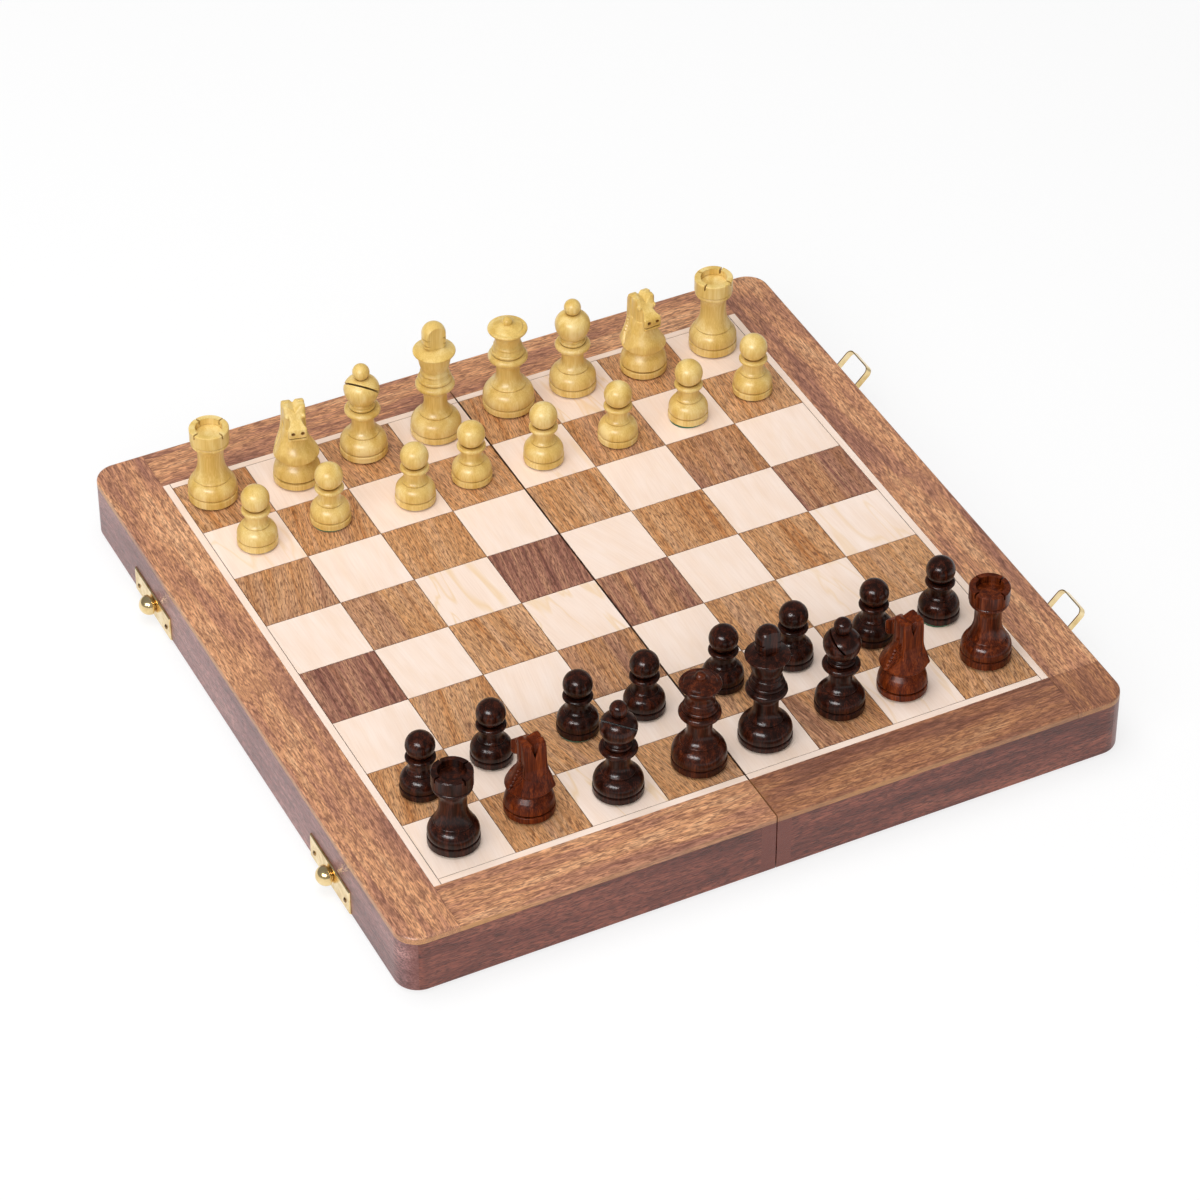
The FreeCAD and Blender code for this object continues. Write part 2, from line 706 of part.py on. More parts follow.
def catch_plate(name, middle):
    """A plain plate on the left wall with a bevelled outer edge."""
    half = dim.plate_length / 2
    steps = [
        (-half, 0), (half, 0), (half, dim.plate_height), (-half, dim.plate_height),
    ]
    body = doc.addObject("PartDesign::Body", name)
    pad = body.newObject("PartDesign::Pad", f"{name}_pad")
    pad.Profile = sketch_outline(body, "XY_Plane", steps)
    bind(pad, "Length", dim.plate_thick)
    doc.recompute()
    base = body.Tip
    bevel = body.newObject("PartDesign::Chamfer", f"{name}_bevel")
    bevel.Base = (base, flat_edges(pad.Shape, dim.plate_thick.value))
    bind(bevel, "Size", dim.plate_bevel)
    # local X runs along the wall, local Y up it and local Z away from it
    against_wall = FreeCAD.Rotation(-Y_AXIS, Z_AXIS, -X_AXIS, "ZXY")
    body.Placement = FreeCAD.Placement(FreeCAD.Vector(), against_wall)
    for letter, size in zip("xyz", (-edge_x, middle, plate_low)):
        bind(body, f"Placement.Base.{letter}", size)
    return body


def catch_knob():
    """A domed knob on a short stem, standing up from the origin."""
    widest = dim.knob_radius
    waist = dim.knob_waist
    swell = widest - dim.knob_stem
    drop = waist - dim.knob_stem_length
    return turned("catch_knob", [
        (0, 0),
        (dim.knob_stem, 0),
        (dim.knob_stem, dim.knob_stem_length),
        (widest, waist, dim.knob_stem + swell * DIAGONAL, waist - drop * DIAGONAL),
        (0, waist + widest, widest * DIAGONAL, waist + widest * DIAGONAL),
    ])


def bail():
    """A flat strip bent to a U, its feet turned in: the pivot at the origin, the loop along +X."""
    wide = dim.bail_width / 2
    inner = wide - dim.bail_thick
    far = dim.bail_length
    near = -dim.bail_strip / 2
    bend = dim.bail_bend
    turn = bend * DIAGONAL
    inner_bend = bend - dim.bail_thick
    inner_turn = inner_bend * DIAGONAL
    loop = sawn("bail_loop", "XY_Plane", [
        (near, -wide),
        (far - bend, -wide),
        (far, -wide + bend, far - bend + turn, -wide + bend - turn),
        (far, wide - bend),
        (far - bend, wide, far - bend + turn, wide - bend + turn),
        (near, wide),
        (near, inner),
        (far - bend, inner),
        (far - dim.bail_thick, wide - bend, far - bend + inner_turn, wide - bend + inner_turn),
        (far - dim.bail_thick, -wide + bend),
        (far - bend, -inner, far - bend + inner_turn, -wide + bend - inner_turn),
        (near, -inner),
    ], dim.bail_strip)
    flank = block("bail_flank", (0, -wide, near), (far, wide, -near))
    tip = rod("bail_tip", (0, -wide, 0), dim.bail_strip / 2, dim.bail_width, X_AXIS, -QUARTER_TURN)
    strip = common("bail_strip", [loop, fuse("bail_side_view", [flank, tip])])
    length = dim.bail_foot_length
    feet = [
        rod("bail_front_foot", (0, -inner, 0), dim.bail_foot, length, X_AXIS, -QUARTER_TURN),
        rod("bail_rear_foot", (0, inner - length, 0), dim.bail_foot, length, X_AXIS, -QUARTER_TURN),
    ]
    return fuse("bail_shape", [strip] + feet)


def bail_bracket(name, middle):
    """A plate on the right wall that holds a knuckle between the legs of a bail."""
    half = dim.bracket_length / 2
    plate = block(f"{name}_plate", (edge_x, middle - half, plate_low),
                  (edge_x + dim.plate_thick, middle + half, plate_low + dim.bracket_height))
    reach = dim.bail_width / 2 - dim.bail_thick - dim.bail_gap
    thick = dim.bracket_knuckle - dim.bail_gap
    web = block(f"{name}_web", (edge_x, middle - reach, pivot_z - thick),
                (pivot_x, middle + reach, pivot_z + thick))
    start = (pivot_x, middle - reach, pivot_z)
    tube = rod(f"{name}_tube", start, dim.bracket_knuckle, 2 * reach, X_AXIS, -QUARTER_TURN)
    bore = rod(f"{name}_bore", start, dim.bail_foot + dim.running_gap, 2 * reach,
               X_AXIS, -QUARTER_TURN)
    return cut(name, fuse(f"{name}_solid", [plate, web, tube]), bore)


def catches():
    """Plates and knobs on the left wall, brackets and bails on the right wall."""
    plates = [catch_plate(f"{end_name}_catch_plate", end * catch_y)
              for end_name, end in ENDS.items()]
    keep("catch_plates", fitted("plates_drilled", group("plates", plates), nail_sets["left"]))
    knob = catch_knob()
    knobs = [copy_of(f"{end_name}_knob", knob, -edge_x - dim.plate_thick, end * catch_y,
                     plate_low + dim.plate_height / 2, Y_AXIS, -QUARTER_TURN)
             for end_name, end in ENDS.items()]
    keep("catch_knobs", group("knobs", knobs))
    brackets = [bail_bracket(f"{end_name}_bracket", end * catch_y)
                for end_name, end in ENDS.items()]
    pair = group("brackets", brackets)
    keep("bail_brackets", fitted("brackets_drilled", pair, nail_sets["right"]))
    shape = bail()
    for end_name, end in ENDS.items():
        loop = copy_of(f"{end_name}_loop", shape, pivot_x, end * catch_y, pivot_z,
                       Y_AXIS, -dim.bail_angle)
        keep(f"{end_name}_bail", loop)


def foot_steps(size):
    """From the axis under the foot, over the magnet's recess and the groove, to the dome's start."""
    low = dim.felt_thick
    recess = low + dim.magnet_thick
    groove_half = dim.groove_width / 2
    return [
        (0, recess),
        (dim.magnet_radius, recess),
        (dim.magnet_radius, low),
        (size.base - dim.foot_tuck, low),
        (size.base, low + dim.foot_tuck),
        (size.base, size.groove - groove_half),
        (size.base - dim.groove_depth, size.groove),
        (size.base - dim.groove_depth / 4, size.groove + groove_half),
    ]


def bent(start, end, bend):
    """An arc to the end, through the point at the given shares of the way in radius and height."""
    radius_share, height_share = bend
    from_radius, from_height = start
    to_radius, to_height = end
    return (to_radius, to_height, from_radius + (to_radius - from_radius) * radius_share,
            from_height + (to_height - from_height) * height_share)


def dome_to(size, radius, height):
    """The convex dome above the foot, as an arc to a radius and height."""
    return (radius, height, radius + (size.base - radius) * LONG_LEG,
            size.groove + (height - size.groove) * SHORT_LEG)


def lip(radius, height, half, inset):
    """A rounded ring: the corner below it, and the arc over it to the corner above."""
    return [
        (radius - inset, height - half),
        (radius - inset, height + half, radius, height),
    ]


def shaft_steps(size):
    """Foot, dome, bead and the waisted shaft up to the top of its neck."""
    bead_low = size.bead_z - dim.bead_half
    bead_high = size.bead_z + dim.bead_half
    bead_side = size.bead - dim.bead_bulge
    steps = foot_steps(size)
    steps.append(dome_to(size, bead_side, bead_low))
    steps.append((bead_side, bead_high, size.bead, size.bead_z))
    neck_share, neck_rise = SHAFT_BEND
    steps.append((size.neck, size.neck_low, size.neck + (bead_side - size.neck) * neck_share,
                  bead_high + (size.neck_low - bead_high) * neck_rise))
    steps.append((size.neck, size.neck_high))
    return steps


def collar_steps(size):
    """The flare from the neck and the wide collar on top of it."""
    collar = lip(size.collar, size.collar_z, size.collar_half, dim.lip_round)
    return [bent((size.neck, size.neck_high), collar[0], HOLLOW_BEND), collar[1]]


def ball_steps(radius, height, side, drop):
    """A ball that starts below its middle, at the sides of a right triangle, and ends on top."""
    return [
        (radius * side, height - radius * drop),
        (0, height + radius, radius, height),
    ]


def pawn():
    size = man_sizes("pawn")
    steps = shaft_steps(size) + collar_steps(size)
    steps += ball_steps(size.ball, size.ball_z, SHORT_LEG, LONG_LEG)
    return turned("pawn", steps)


def rook():
    """A tower with a rim that two saw cuts part into four."""
    size = man_sizes("rook")
    steps = shaft_steps(size)
    steps.append(bent((size.neck, size.neck_high), (size.flare, size.flare_z), HOLLOW_BEND))
    steps += lip(size.ring, size.ring_z, size.ring_half, dim.lip_round / 2)
    steps += [
        (size.ring - dim.lip_round, (size.ring_z + size.ring_half + size.cup_z) / 2),
        (size.cup, size.cup_z),
        (size.cup, size.top_z - dim.foot_tuck),
        (size.cup - dim.foot_tuck, size.top_z),
        (size.well, size.top_z),
        (size.well, size.well_z),
        (0, size.well_z),
    ]
    body = turned("rook_turning", steps)
    half = dim.saw_cut / 2
    low = size.top_z - size.cut_depth
    high = size.top_z + dim.saw_cut
    cuts = [
        block("rook_saw_cut_x", (-size.base, -half, low), (size.base, half, high)),
        block("rook_saw_cut_y", (-half, -size.base, low), (half, size.base, high)),
    ]
    return cut("rook", body, group("rook_saw_cuts", cuts))


def bishop():
    """A mitre with a small ball on top and a slanting slit."""
    size = man_sizes("bishop")
    steps = shaft_steps(size) + collar_steps(size)
    steps += lip(size.ring, size.ring_z, size.ring_half, dim.lip_round)
    widest = (size.mitre, size.mitre_z)
    steps += [
        (size.throat, size.throat_z),
        bent((size.throat, size.throat_z), widest, MITRE_LOW_BEND),
        bent(widest, (size.tip, size.tip_z), MITRE_HIGH_BEND),
    ]
    steps += ball_steps(size.ball, size.ball_z, SHORT_LEG, LONG_LEG)
    body = turned("bishop_turning", steps)
    slit = block("bishop_slit", (0, -size.base, 0), (size.slit_length, size.base, dim.saw_cut))
    place(slit, 0, -size.base, size.slit_z, Y_AXIS, -size.slit_angle)
    return cut("bishop", body, slit)


def ringed_steps(size):
    """Shaft, collar and the two smaller rings above it, up to the waist under the crown."""
    steps = shaft_steps(size) + collar_steps(size)
    steps += lip(size.ring, size.ring_z, size.ring_half, dim.lip_round)
    steps += lip(size.band, size.band_z, size.band_half, dim.lip_round / 2)
    steps.append((size.waist, size.waist_z))
    return steps


def queen():
    """A wide stepped disc for a crown, with a small onion on top."""
    size = man_sizes("queen")
    steps = ringed_steps(size)
    crown = lip(size.crown, size.crown_z, size.crown_half, dim.lip_round / 2)
    groove = dim.groove_width / 2
    steps += [
        bent((size.waist, size.waist_z), crown[0], HOLLOW_BEND),
        crown[1],
        (size.crown_step + groove, size.crown_step_z - groove),
        (size.crown_step, size.crown_step_z),
        (size.ridge, size.ridge_z),
    ]
    steps += ball_steps(size.ball, size.ball_z, STEEP_LEG, SLIGHT_LEG)
    return turned("queen", steps)


def king():
    """A cup under a wide disc, with a notched and flattened finial."""
    size = man_sizes("king")
    steps = ringed_steps(size)
    crown = lip(size.crown, size.crown_z, size.crown_half, dim.lip_round / 2)
    steps.append(bent((size.waist, size.waist_z), (size.cup, size.cup_z), CUP_BEND))
    steps += crown
    steps.append((size.seat, size.seat_z))
    for number in range(2):
        height = size.notch_z + number * size.notch_pitch
        steps += [
            (size.finial, height - size.notch_half),
            (size.finial - size.notch_depth, height),
            (size.finial, height + size.notch_half),
        ]
    steps += [
        (size.finial, size.finial_z),
        (0, size.finial_z + size.finial,
         size.finial * DIAGONAL, size.finial_z + size.finial * DIAGONAL),
    ]
    body = turned("king_turning", steps)
    top = size.finial_z + size.finial * 2
    flats = [
        block("king_front_flat", (-size.base, -size.base, size.seat_z),
              (size.base, -size.flat_half, top)),
        block("king_rear_flat", (-size.base, size.flat_half, size.seat_z),
              (size.base, size.base, top)),
    ]
    return cut("king", body, group("king_flats", flats))


def knight():
    """A horse's head and neck, facing +X, on a bell that overhangs the foot."""
    size = man_sizes("knight")
    steps = foot_steps(size)
    steps += [
        dome_to(size, size.waist, size.waist_z),
        (size.bell - dim.foot_tuck, size.bell_z - dim.lip_round),
        (size.bell, size.bell_z),
        (size.chest, size.chest_z),
        (0, size.chest_z),
    ]
    foot = turned("knight_foot", steps)

    low = size.neck_low
    top = size.head_top
    # side view: chest, throat, chin, muzzle, forehead, ear, nape and back
    profile = sawn("knight_profile", "XZ_Plane", [
        (-size.back, low),
        (size.waist, low),
        (size.throat, size.throat_z),
        (size.chin, size.chin_z),
        (size.muzzle, size.muzzle_low),
        (size.muzzle, size.muzzle_high),
        (size.nose, size.nose_z),
        (size.brow, size.brow_z),
        (size.ear, top),
        (-size.nape, size.nape_z),
        (-size.back, size.back_z),
    ], 2 * size.base)
    taper = doc.addObject("Part::Wedge", "knight_taper")
    for limit, value in (
        ("Xmin", -size.base), ("Xmax", size.base),
        ("X2min", -size.base), ("X2max", size.base),
        ("Ymin", low), ("Ymax", top),
        ("Zmin", -size.foot_half), ("Zmax", size.foot_half),
        ("Z2min", -size.poll_half), ("Z2max", size.poll_half),
    ):
        bind(taper, limit, value)
    place(taper, 0, 0, 0, X_AXIS, QUARTER_TURN)
    post = rod("knight_post", (0, 0, low), size.bell, top - low)
    head = common("knight_blank", [profile, taper, post])

    cheek = block("knight_left_cheek", (0, 0, 0), (size.base * 2, size.base, top))
    place(cheek, size.cheek_x, size.cheek_half, size.cheek_low, Z_AXIS, -size.cheek_angle)
    other_cheek = doc.addObject("Part::Mirroring", "knight_right_cheek")
    other_cheek.Source = cheek
    other_cheek.Normal = Y_AXIS
    ears = block("knight_ear_gap", (0, 0, 0), (size.base * 2, size.ear_cut, size.ear_cut))
    place(ears, -size.base, 0, size.ear_cut_z, X_AXIS, EIGHTH_TURN)
    carved = cut("knight_carved", head, group("knight_cuts", [cheek, other_cheek, ears]))
    return fuse("knight", [foot, carved])


def column_x(column):
    """Middle of a column of squares; the fold line runs between the fourth and the fifth."""
    middle = dim.square / 2
    if column < HALF_SQUARES:
        return -(near_x + dim.square * (HALF_SQUARES - 1 - column) + middle)
    return near_x + dim.square * (column - HALF_SQUARES) + middle


def row_y(row):
    """Middle of a row of squares."""
    return dim.square * (row - HALF_SQUARES) + dim.square / 2


def men():
    """Every man: turned wood, a magnet in the foot and felt under it, on its square."""
    woods = {
        "pawn": pawn(),
        "rook": rook(),
        "bishop": bishop(),
        "queen": queen(),
        "king": king(),
        "knight": knight(),
    }
    magnet = rod("magnet", (0, 0, dim.felt_thick), dim.magnet_radius, dim.magnet_thick)
    masters = {}
    for kind, wood in woods.items():
        felt = rod(f"{kind}_felt", (0, 0, 0), man_sizes(kind).base - dim.felt_inset, dim.felt_thick)
        masters[kind] = [wood, magnet, felt]
    for name, (kind, column, row, shift_x, shift_y, turn) in MEN.items():
        man = group(f"{name}_set", masters[kind])
        x = column_x(column) + getattr(dim, f"{name}_shift_x")
        y = row_y(row) + getattr(dim, f"{name}_shift_y")
        place(man, x, y, top_z, Z_AXIS, getattr(dim, f"{name}_turn"))
        keep(name, man)


def check_document():
    """Stop if any object failed or any shape is unsound."""
    for thing in doc.Objects:
        if any(word in thing.State for word in ("Invalid", "Error", "Touched")):
            raise RuntimeError(f"{thing.Name} is {thing.State}")
        if thing.TypeId == "Sketcher::SketchObject":
            if not thing.FullyConstrained:
                raise RuntimeError(f"{thing.Name} is not fully constrained")
            continue
        shape = getattr(thing, "Shape", None)
        if shape is None or thing.TypeId.startswith("App::"):
            continue
        if shape.isNull() or not shape.isValid():
            raise RuntimeError(f"{thing.Name} has an unsound shape")
    for name, piece in nodes.items():
        if not piece.Shape.Solids:
            raise RuntimeError(f"{name} has no solid")


def export_parts():
    """Write each named sub-part to its own file."""
    os.makedirs("parts", exist_ok=True)
    for name, piece in nodes.items():
        piece.Shape.exportStep(os.path.join("parts", f"{name}.step"))


nail = wire_nail()
screw = wood_screw()
nail_sets = {
    "left": wall_nails("catch_nail", SIDES["left"], dim.plate_nails, nail),
    "right": wall_nails("bracket_nail", SIDES["right"], dim.bracket_nails, nail),
}
hinge_screw_sets = {word: hinge_screws(f"{word}_hinge_screw", side, screw)
                    for word, side in SIDES.items()}
board = board_outline()
for half_name, half_side in SIDES.items():
    half_board(half_name, half_side, board, hinge_screw_sets[half_name], nail_sets[half_name])
    fasteners = hinge_screw_sets[half_name] + nail_sets[half_name]
    keep(f"{half_name}_screws", group(f"{half_name}_fasteners", fasteners))
hinges()
catches()
men()
doc.recompute()
check_document()
export_parts()

for node_name, node in nodes.items():
    extent = node.Shape.BoundBox
    print(f"{node_name}: {len(node.Shape.Solids)} solids, "
          f"{extent.XLength:.1f} x {extent.YLength:.1f} x {extent.ZLength:.1f} mm")
print(f"{len(nodes)} sub-parts written")
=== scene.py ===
import math
import random

import bmesh
import bpy
import numpy as np
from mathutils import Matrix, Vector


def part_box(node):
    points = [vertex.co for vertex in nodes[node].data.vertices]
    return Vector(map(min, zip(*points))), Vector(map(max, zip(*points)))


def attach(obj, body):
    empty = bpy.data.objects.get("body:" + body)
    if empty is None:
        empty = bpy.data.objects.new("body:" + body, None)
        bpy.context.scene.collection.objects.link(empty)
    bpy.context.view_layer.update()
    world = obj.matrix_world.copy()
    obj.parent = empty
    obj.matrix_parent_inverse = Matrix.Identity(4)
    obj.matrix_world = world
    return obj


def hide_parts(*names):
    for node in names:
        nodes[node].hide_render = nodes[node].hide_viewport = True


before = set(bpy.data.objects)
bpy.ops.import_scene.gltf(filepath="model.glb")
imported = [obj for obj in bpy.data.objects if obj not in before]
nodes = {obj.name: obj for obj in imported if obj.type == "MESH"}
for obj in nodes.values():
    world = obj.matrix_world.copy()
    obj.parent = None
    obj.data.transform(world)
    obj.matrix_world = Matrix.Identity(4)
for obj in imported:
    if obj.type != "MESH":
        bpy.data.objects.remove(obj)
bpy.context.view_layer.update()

import openvdb
from mathutils import Matrix, Vector

# Folding chess board with its men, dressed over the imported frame. Lengths are in metres.
scene = bpy.context.scene
draw = random.Random(64)

MM = 0.001
HALVES = ("left", "right")
SQUARES_ACROSS = 8
HALF_SQUARES = SQUARES_ACROSS // 2
MEN = [name for name in nodes if name.startswith(("light_", "dark_"))]

# Playing field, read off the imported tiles.
tiles_low, tiles_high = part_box("right_dark_squares")
inlay_low, inlay_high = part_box("right_maple_inlay")
SQUARE = ((tiles_high.y - tiles_low.y) - (tiles_high.x - tiles_low.x)) / HALF_SQUARES
JOINT_HALF = (SQUARES_ACROSS * SQUARE - (tiles_high.y - tiles_low.y)) / 2
NEAR_X = tiles_low.x - JOINT_HALF
FIELD_X = NEAR_X + HALF_SQUARES * SQUARE
FIELD_Y = HALF_SQUARES * SQUARE
STRING_X = inlay_high.x
STRING_Y = inlay_high.y
TILE_LOW = inlay_low.z
TOP = inlay_high.z

# Edges of the tiles are eased, which leaves a fine dark joint between them.
TILE_EASE = 0.13 * MM
TILE_EASE_DEPTH = 0.25 * MM

# Squares cut from striped heartwood, by column and row, with how far the dark colour covers them.
HEARTWOOD = {
    (0, 3): 0.85, (0, 5): 0.3, (3, 2): 0.38, (3, 4): 0.95, (4, 3): 0.6,
    (5, 0): 0.4, (6, 3): 0.0, (6, 5): 0.45, (7, 4): 0.6,
}

# How the other tiles differ: heartwood in dark ones, growth lines in a share of the light ones, and
# the grain's wander in degrees and its starting point in millimetres.
MOST_HEARTWOOD = 0.22
FIGURED_SHARE = 0.25
FIGURED_TONES = (0.5, 0.9)
PLAIN_TONE = 0.1
GRAIN_WANDER = 7
GRAIN_REACH = 900

# The turned dark man whose wood shows reddest through the lacquer.
REDDEST_MAN = "dark_rook_right"

# Where each knight faces, in degrees from +X.
KNIGHT_TURNS = {
    "light_knight_left": 256.0,
    "light_knight_right": 273.0,
    "dark_knight_left": 90.0,
    "dark_knight_right": 96.0,
}

# Felt under the men's feet.
FELT_THICK = 0.5 * MM
FELT_GREEN = (52, 104, 66)
FELT_ROUGHNESS = 0.9

# Men whose felt was glued on askew, so that its edge shows under the foot, with how far it is out.
SLIPPED_FELTS = {"light_pawn_2": 0.7, "light_pawn_7": 1.0, "dark_pawn_3": 0.7, "dark_pawn_8": 1.0}
SLIP_DIRECTION = Vector((-0.85, -0.53, 0.0))

# Viewpoint fitted to the photograph.
CAMERA_PLACE = (-0.6256, -1.2627, 1.2154)
CAMERA_TILT = math.radians(49.628)
CAMERA_TURN = math.radians(-26.437)
CAMERA_LENS = 140.9
CAMERA_SENSOR = 36.0


def srgb(red, green, blue):
    """A colour as read off a screen, from 0 to 255, turned to linear light."""
    def linear(value):
        value /= 255
        return value / 12.92 if value <= 0.04045 else ((value + 0.055) / 1.055) ** 2.4
    return (linear(red), linear(green), linear(blue), 1.0)


class Shader:
    """A material's node tree, with short calls for the nodes that the finishes share."""

    def __init__(self, name, surface):
        self.material = bpy.data.materials.new(name)
        self.material.use_nodes = True
        self.tree = self.material.node_tree
        self.surface = self.tree.nodes["Principled BSDF"]
        self.feed(self.surface, surface)

    def feed(self, node, inputs):
        for socket, value in inputs.items():
            if isinstance(value, bpy.types.NodeSocket):
                self.tree.links.new(value, node.inputs[socket])
            else:
                node.inputs[socket].default_value = value

    def add(self, kind, inputs, **settings):
        node = self.tree.nodes.new("ShaderNode" + kind)
        for name, value in settings.items():
            setattr(node, name, value)
        self.feed(node, inputs)
        return node

    def math(self, operation, *values):
        node = self.add("Math", dict(enumerate(values)), operation=operation)
        return node.outputs["Value"]

    def mix(self, factor, first, second, blend="MIX"):
        node = self.tree.nodes.new("ShaderNodeMix")
        node.data_type = "RGBA"
        node.blend_type = blend
        colours = [socket for socket in node.inputs if socket.type == "RGBA"]
        for socket, value in zip([node.inputs["Factor"], *colours], (factor, first, second)):
            if isinstance(value, bpy.types.NodeSocket):
                self.tree.links.new(value, socket)
            else:
                socket.default_value = value
        return next(socket for socket in node.outputs if socket.type == "RGBA")

    def ramp(self, factor, stops):
        node = self.add("ValToRGB", {"Fac": factor})
        elements = node.color_ramp.elements
        while len(elements) < len(stops):
            elements.new(0.5)
        for element, (position, colour) in zip(elements, stops):
            element.position = position
            element.color = colour
        return node.outputs["Color"]

    def span(self, value, start, end, low=0.0, high=1.0):
        """Takes a value from the range start to end into the range low to high."""
        limits = {"From Min": start, "From Max": end, "To Min": low, "To Max": high}
        return self.add("MapRange", {"Value": value, **limits}).outputs["Result"]

    def attribute(self, name, output="Fac"):
        return self.add("Attribute", {}, attribute_name=name).outputs[output]

    def axes(self, kind):
        """The piece's own coordinates, "Object", or its face direction, "Normal", axis by axis."""
        vector = self.add("TexCoord", {}).outputs[kind]
        return self.add("SeparateXYZ", {"Vector": vector}).outputs

    def grain(self, along):
        """The piece's own coordinates in millimetres, turned so that Y runs along the grain."""
        turn = {"X": (0, 0, math.pi / 2), "Y": (0, 0, 0), "Z": (-math.pi / 2, 0, 0)}[along]
        place = self.add("TexCoord", {}).outputs["Object"]
        turned = self.add("Mapping", {"Vector": place, "Rotation": turn, "Scale": (1 / MM,) * 3})
        return turned.outputs["Vector"]

    def noise(self, grain, across, along, detail=2.0, distortion=0.0):
        """Noise in streaks: across and along are the size of one, in millimetres."""
        drawn_out = self.add("Mapping", {"Vector": grain, "Scale": (1 / across, 1 / along, 1 / across)})
        inputs = {"Scale": 1.0, "Detail": detail, "Distortion": distortion}
        return self.add("TexNoise", {"Vector": drawn_out.outputs["Vector"], **inputs}).outputs["Fac"]

    def bump(self, height, depth, *sockets):
        node = self.add("Bump", {"Height": height, "Distance": depth})
        self.feed(self.surface, {socket: node.outputs["Normal"] for socket in sockets or ("Normal",)})

    def painted_hollow_shade(self, colour, depth, dark):
        """Darkens a colour where the surface is hollow: painted shade, read from ambient occlusion."""
        open_to_sky, shut_in = 0.62, 0.25
        node = self.add("AmbientOcclusion", {"Distance": depth}, only_local=True, samples=8)
        return self.mix(self.span(node.outputs["AO"], open_to_sky, shut_in), colour, dark)

    def felt_foot(self, colour, roughness):
        """Gives the felt that is part of a man's solid its own look."""
        height = self.axes("Object")["Z"]
        felt = self.span(height, TOP + FELT_THICK, TOP + 0.98 * FELT_THICK)
        matt = self.math("MULTIPLY_ADD", self.math("SUBTRACT", FELT_ROUGHNESS, roughness), felt, roughness)
        return self.mix(felt, colour, srgb(*FELT_GREEN)), matt

    def finish(self, colour, roughness):
        self.feed(self.surface, {"Base Color": colour, "Roughness": roughness})
        return self.material


def end_grain(shader, axis):
    """How squarely a face cuts across the grain, from 0 to 1."""
    return shader.span(shader.math("ABSOLUTE", shader.axes("Normal")[axis]), 0.6, 0.95)


def dark_square_wood():
    """Golden rosewood with short dark pores, turning to striped purple-brown where the tone is high."""
    shader = Shader("dark_square_wood", {"IOR": 1.5})
    grain = shader.attribute("grain", "Vector")
    figure = shader.noise(grain, 9.0, 90.0, 3.0, 0.6)
    stripes = shader.noise(grain, 1.5, 70.0, 2.5, 0.3)
    fibre = shader.noise(grain, 0.45, 5.0, 1.0, 0.3)
    pores = shader.span(shader.noise(grain, 0.45, 3.0, 1.0, 0.3), 0.53, 0.62)

    golden = shader.ramp(shader.math("MULTIPLY_ADD", stripes, 0.5, shader.math("MULTIPLY", figure, 0.5)), [
        (0.32, srgb(178, 116, 66)), (0.48, srgb(204, 150, 102)), (0.62, srgb(214, 166, 124)),
    ])
    heart = shader.ramp(stripes, [
        (0.30, srgb(112, 68, 58)), (0.44, srgb(146, 97, 80)),
        (0.56, srgb(168, 118, 95)), (0.70, srgb(190, 140, 106)),
    ])
    spread = shader.math("MULTIPLY_ADD", shader.math("SUBTRACT", figure, 0.5), 1.6, shader.attribute("tone"))
    colour = shader.mix(shader.span(spread, 0.15, 0.75), golden, heart)
    flecks = shader.ramp(fibre, [(0.3, (0.64,) * 3 + (1,)), (0.7, (1.3,) * 3 + (1,))])
    colour = shader.mix(1.0, colour, flecks, "MULTIPLY")
    colour = shader.mix(shader.math("MULTIPLY", pores, 0.62), colour, srgb(92, 54, 40))
    colour = shader.mix(shader.attribute("joint"), colour, srgb(62, 36, 26))

    height = shader.math("SUBTRACT", shader.math("MULTIPLY", fibre, 0.4), pores)
    shader.bump(height, 0.04 * MM)
    return shader.finish(colour, shader.span(fibre, 0.3, 0.7, 0.36, 0.48))


def maple_wood():
    """Cream maple with faint streaks, and a tan growth line on the tiles whose tone is high."""
    shader = Shader("maple", {"IOR": 1.5})
    grain = shader.attribute("grain", "Vector")
    figure = shader.noise(grain, 11.0, 60.0, 2.0, 0.8)
    fibre = shader.noise(grain, 0.5, 16.0, 2.5)
    clouds = shader.noise(grain, 6.0, 25.0, 2.0)
    colour = shader.ramp(clouds, [(0.3, srgb(247, 222, 203)), (0.7, srgb(251, 231, 217))])
    flecks = shader.ramp(fibre, [(0.3, (0.955, 0.94, 0.925, 1)), (0.6, (1, 1, 1, 1))])
    colour = shader.mix(1.0, colour, flecks, "MULTIPLY")
    line = shader.math("ABSOLUTE", shader.math("SUBTRACT", figure, 0.52))
    line = shader.math("MULTIPLY", shader.span(line, 0.035, 0.0), shader.attribute("tone"))
    colour = shader.mix(line, colour, srgb(240, 208, 168))
    colour = shader.mix(shader.attribute("joint"), colour, srgb(92, 62, 46))
    shader.bump(fibre, 0.015 * MM)
    return shader.finish(colour, shader.span(fibre, 0.3, 0.7, 0.40, 0.48))


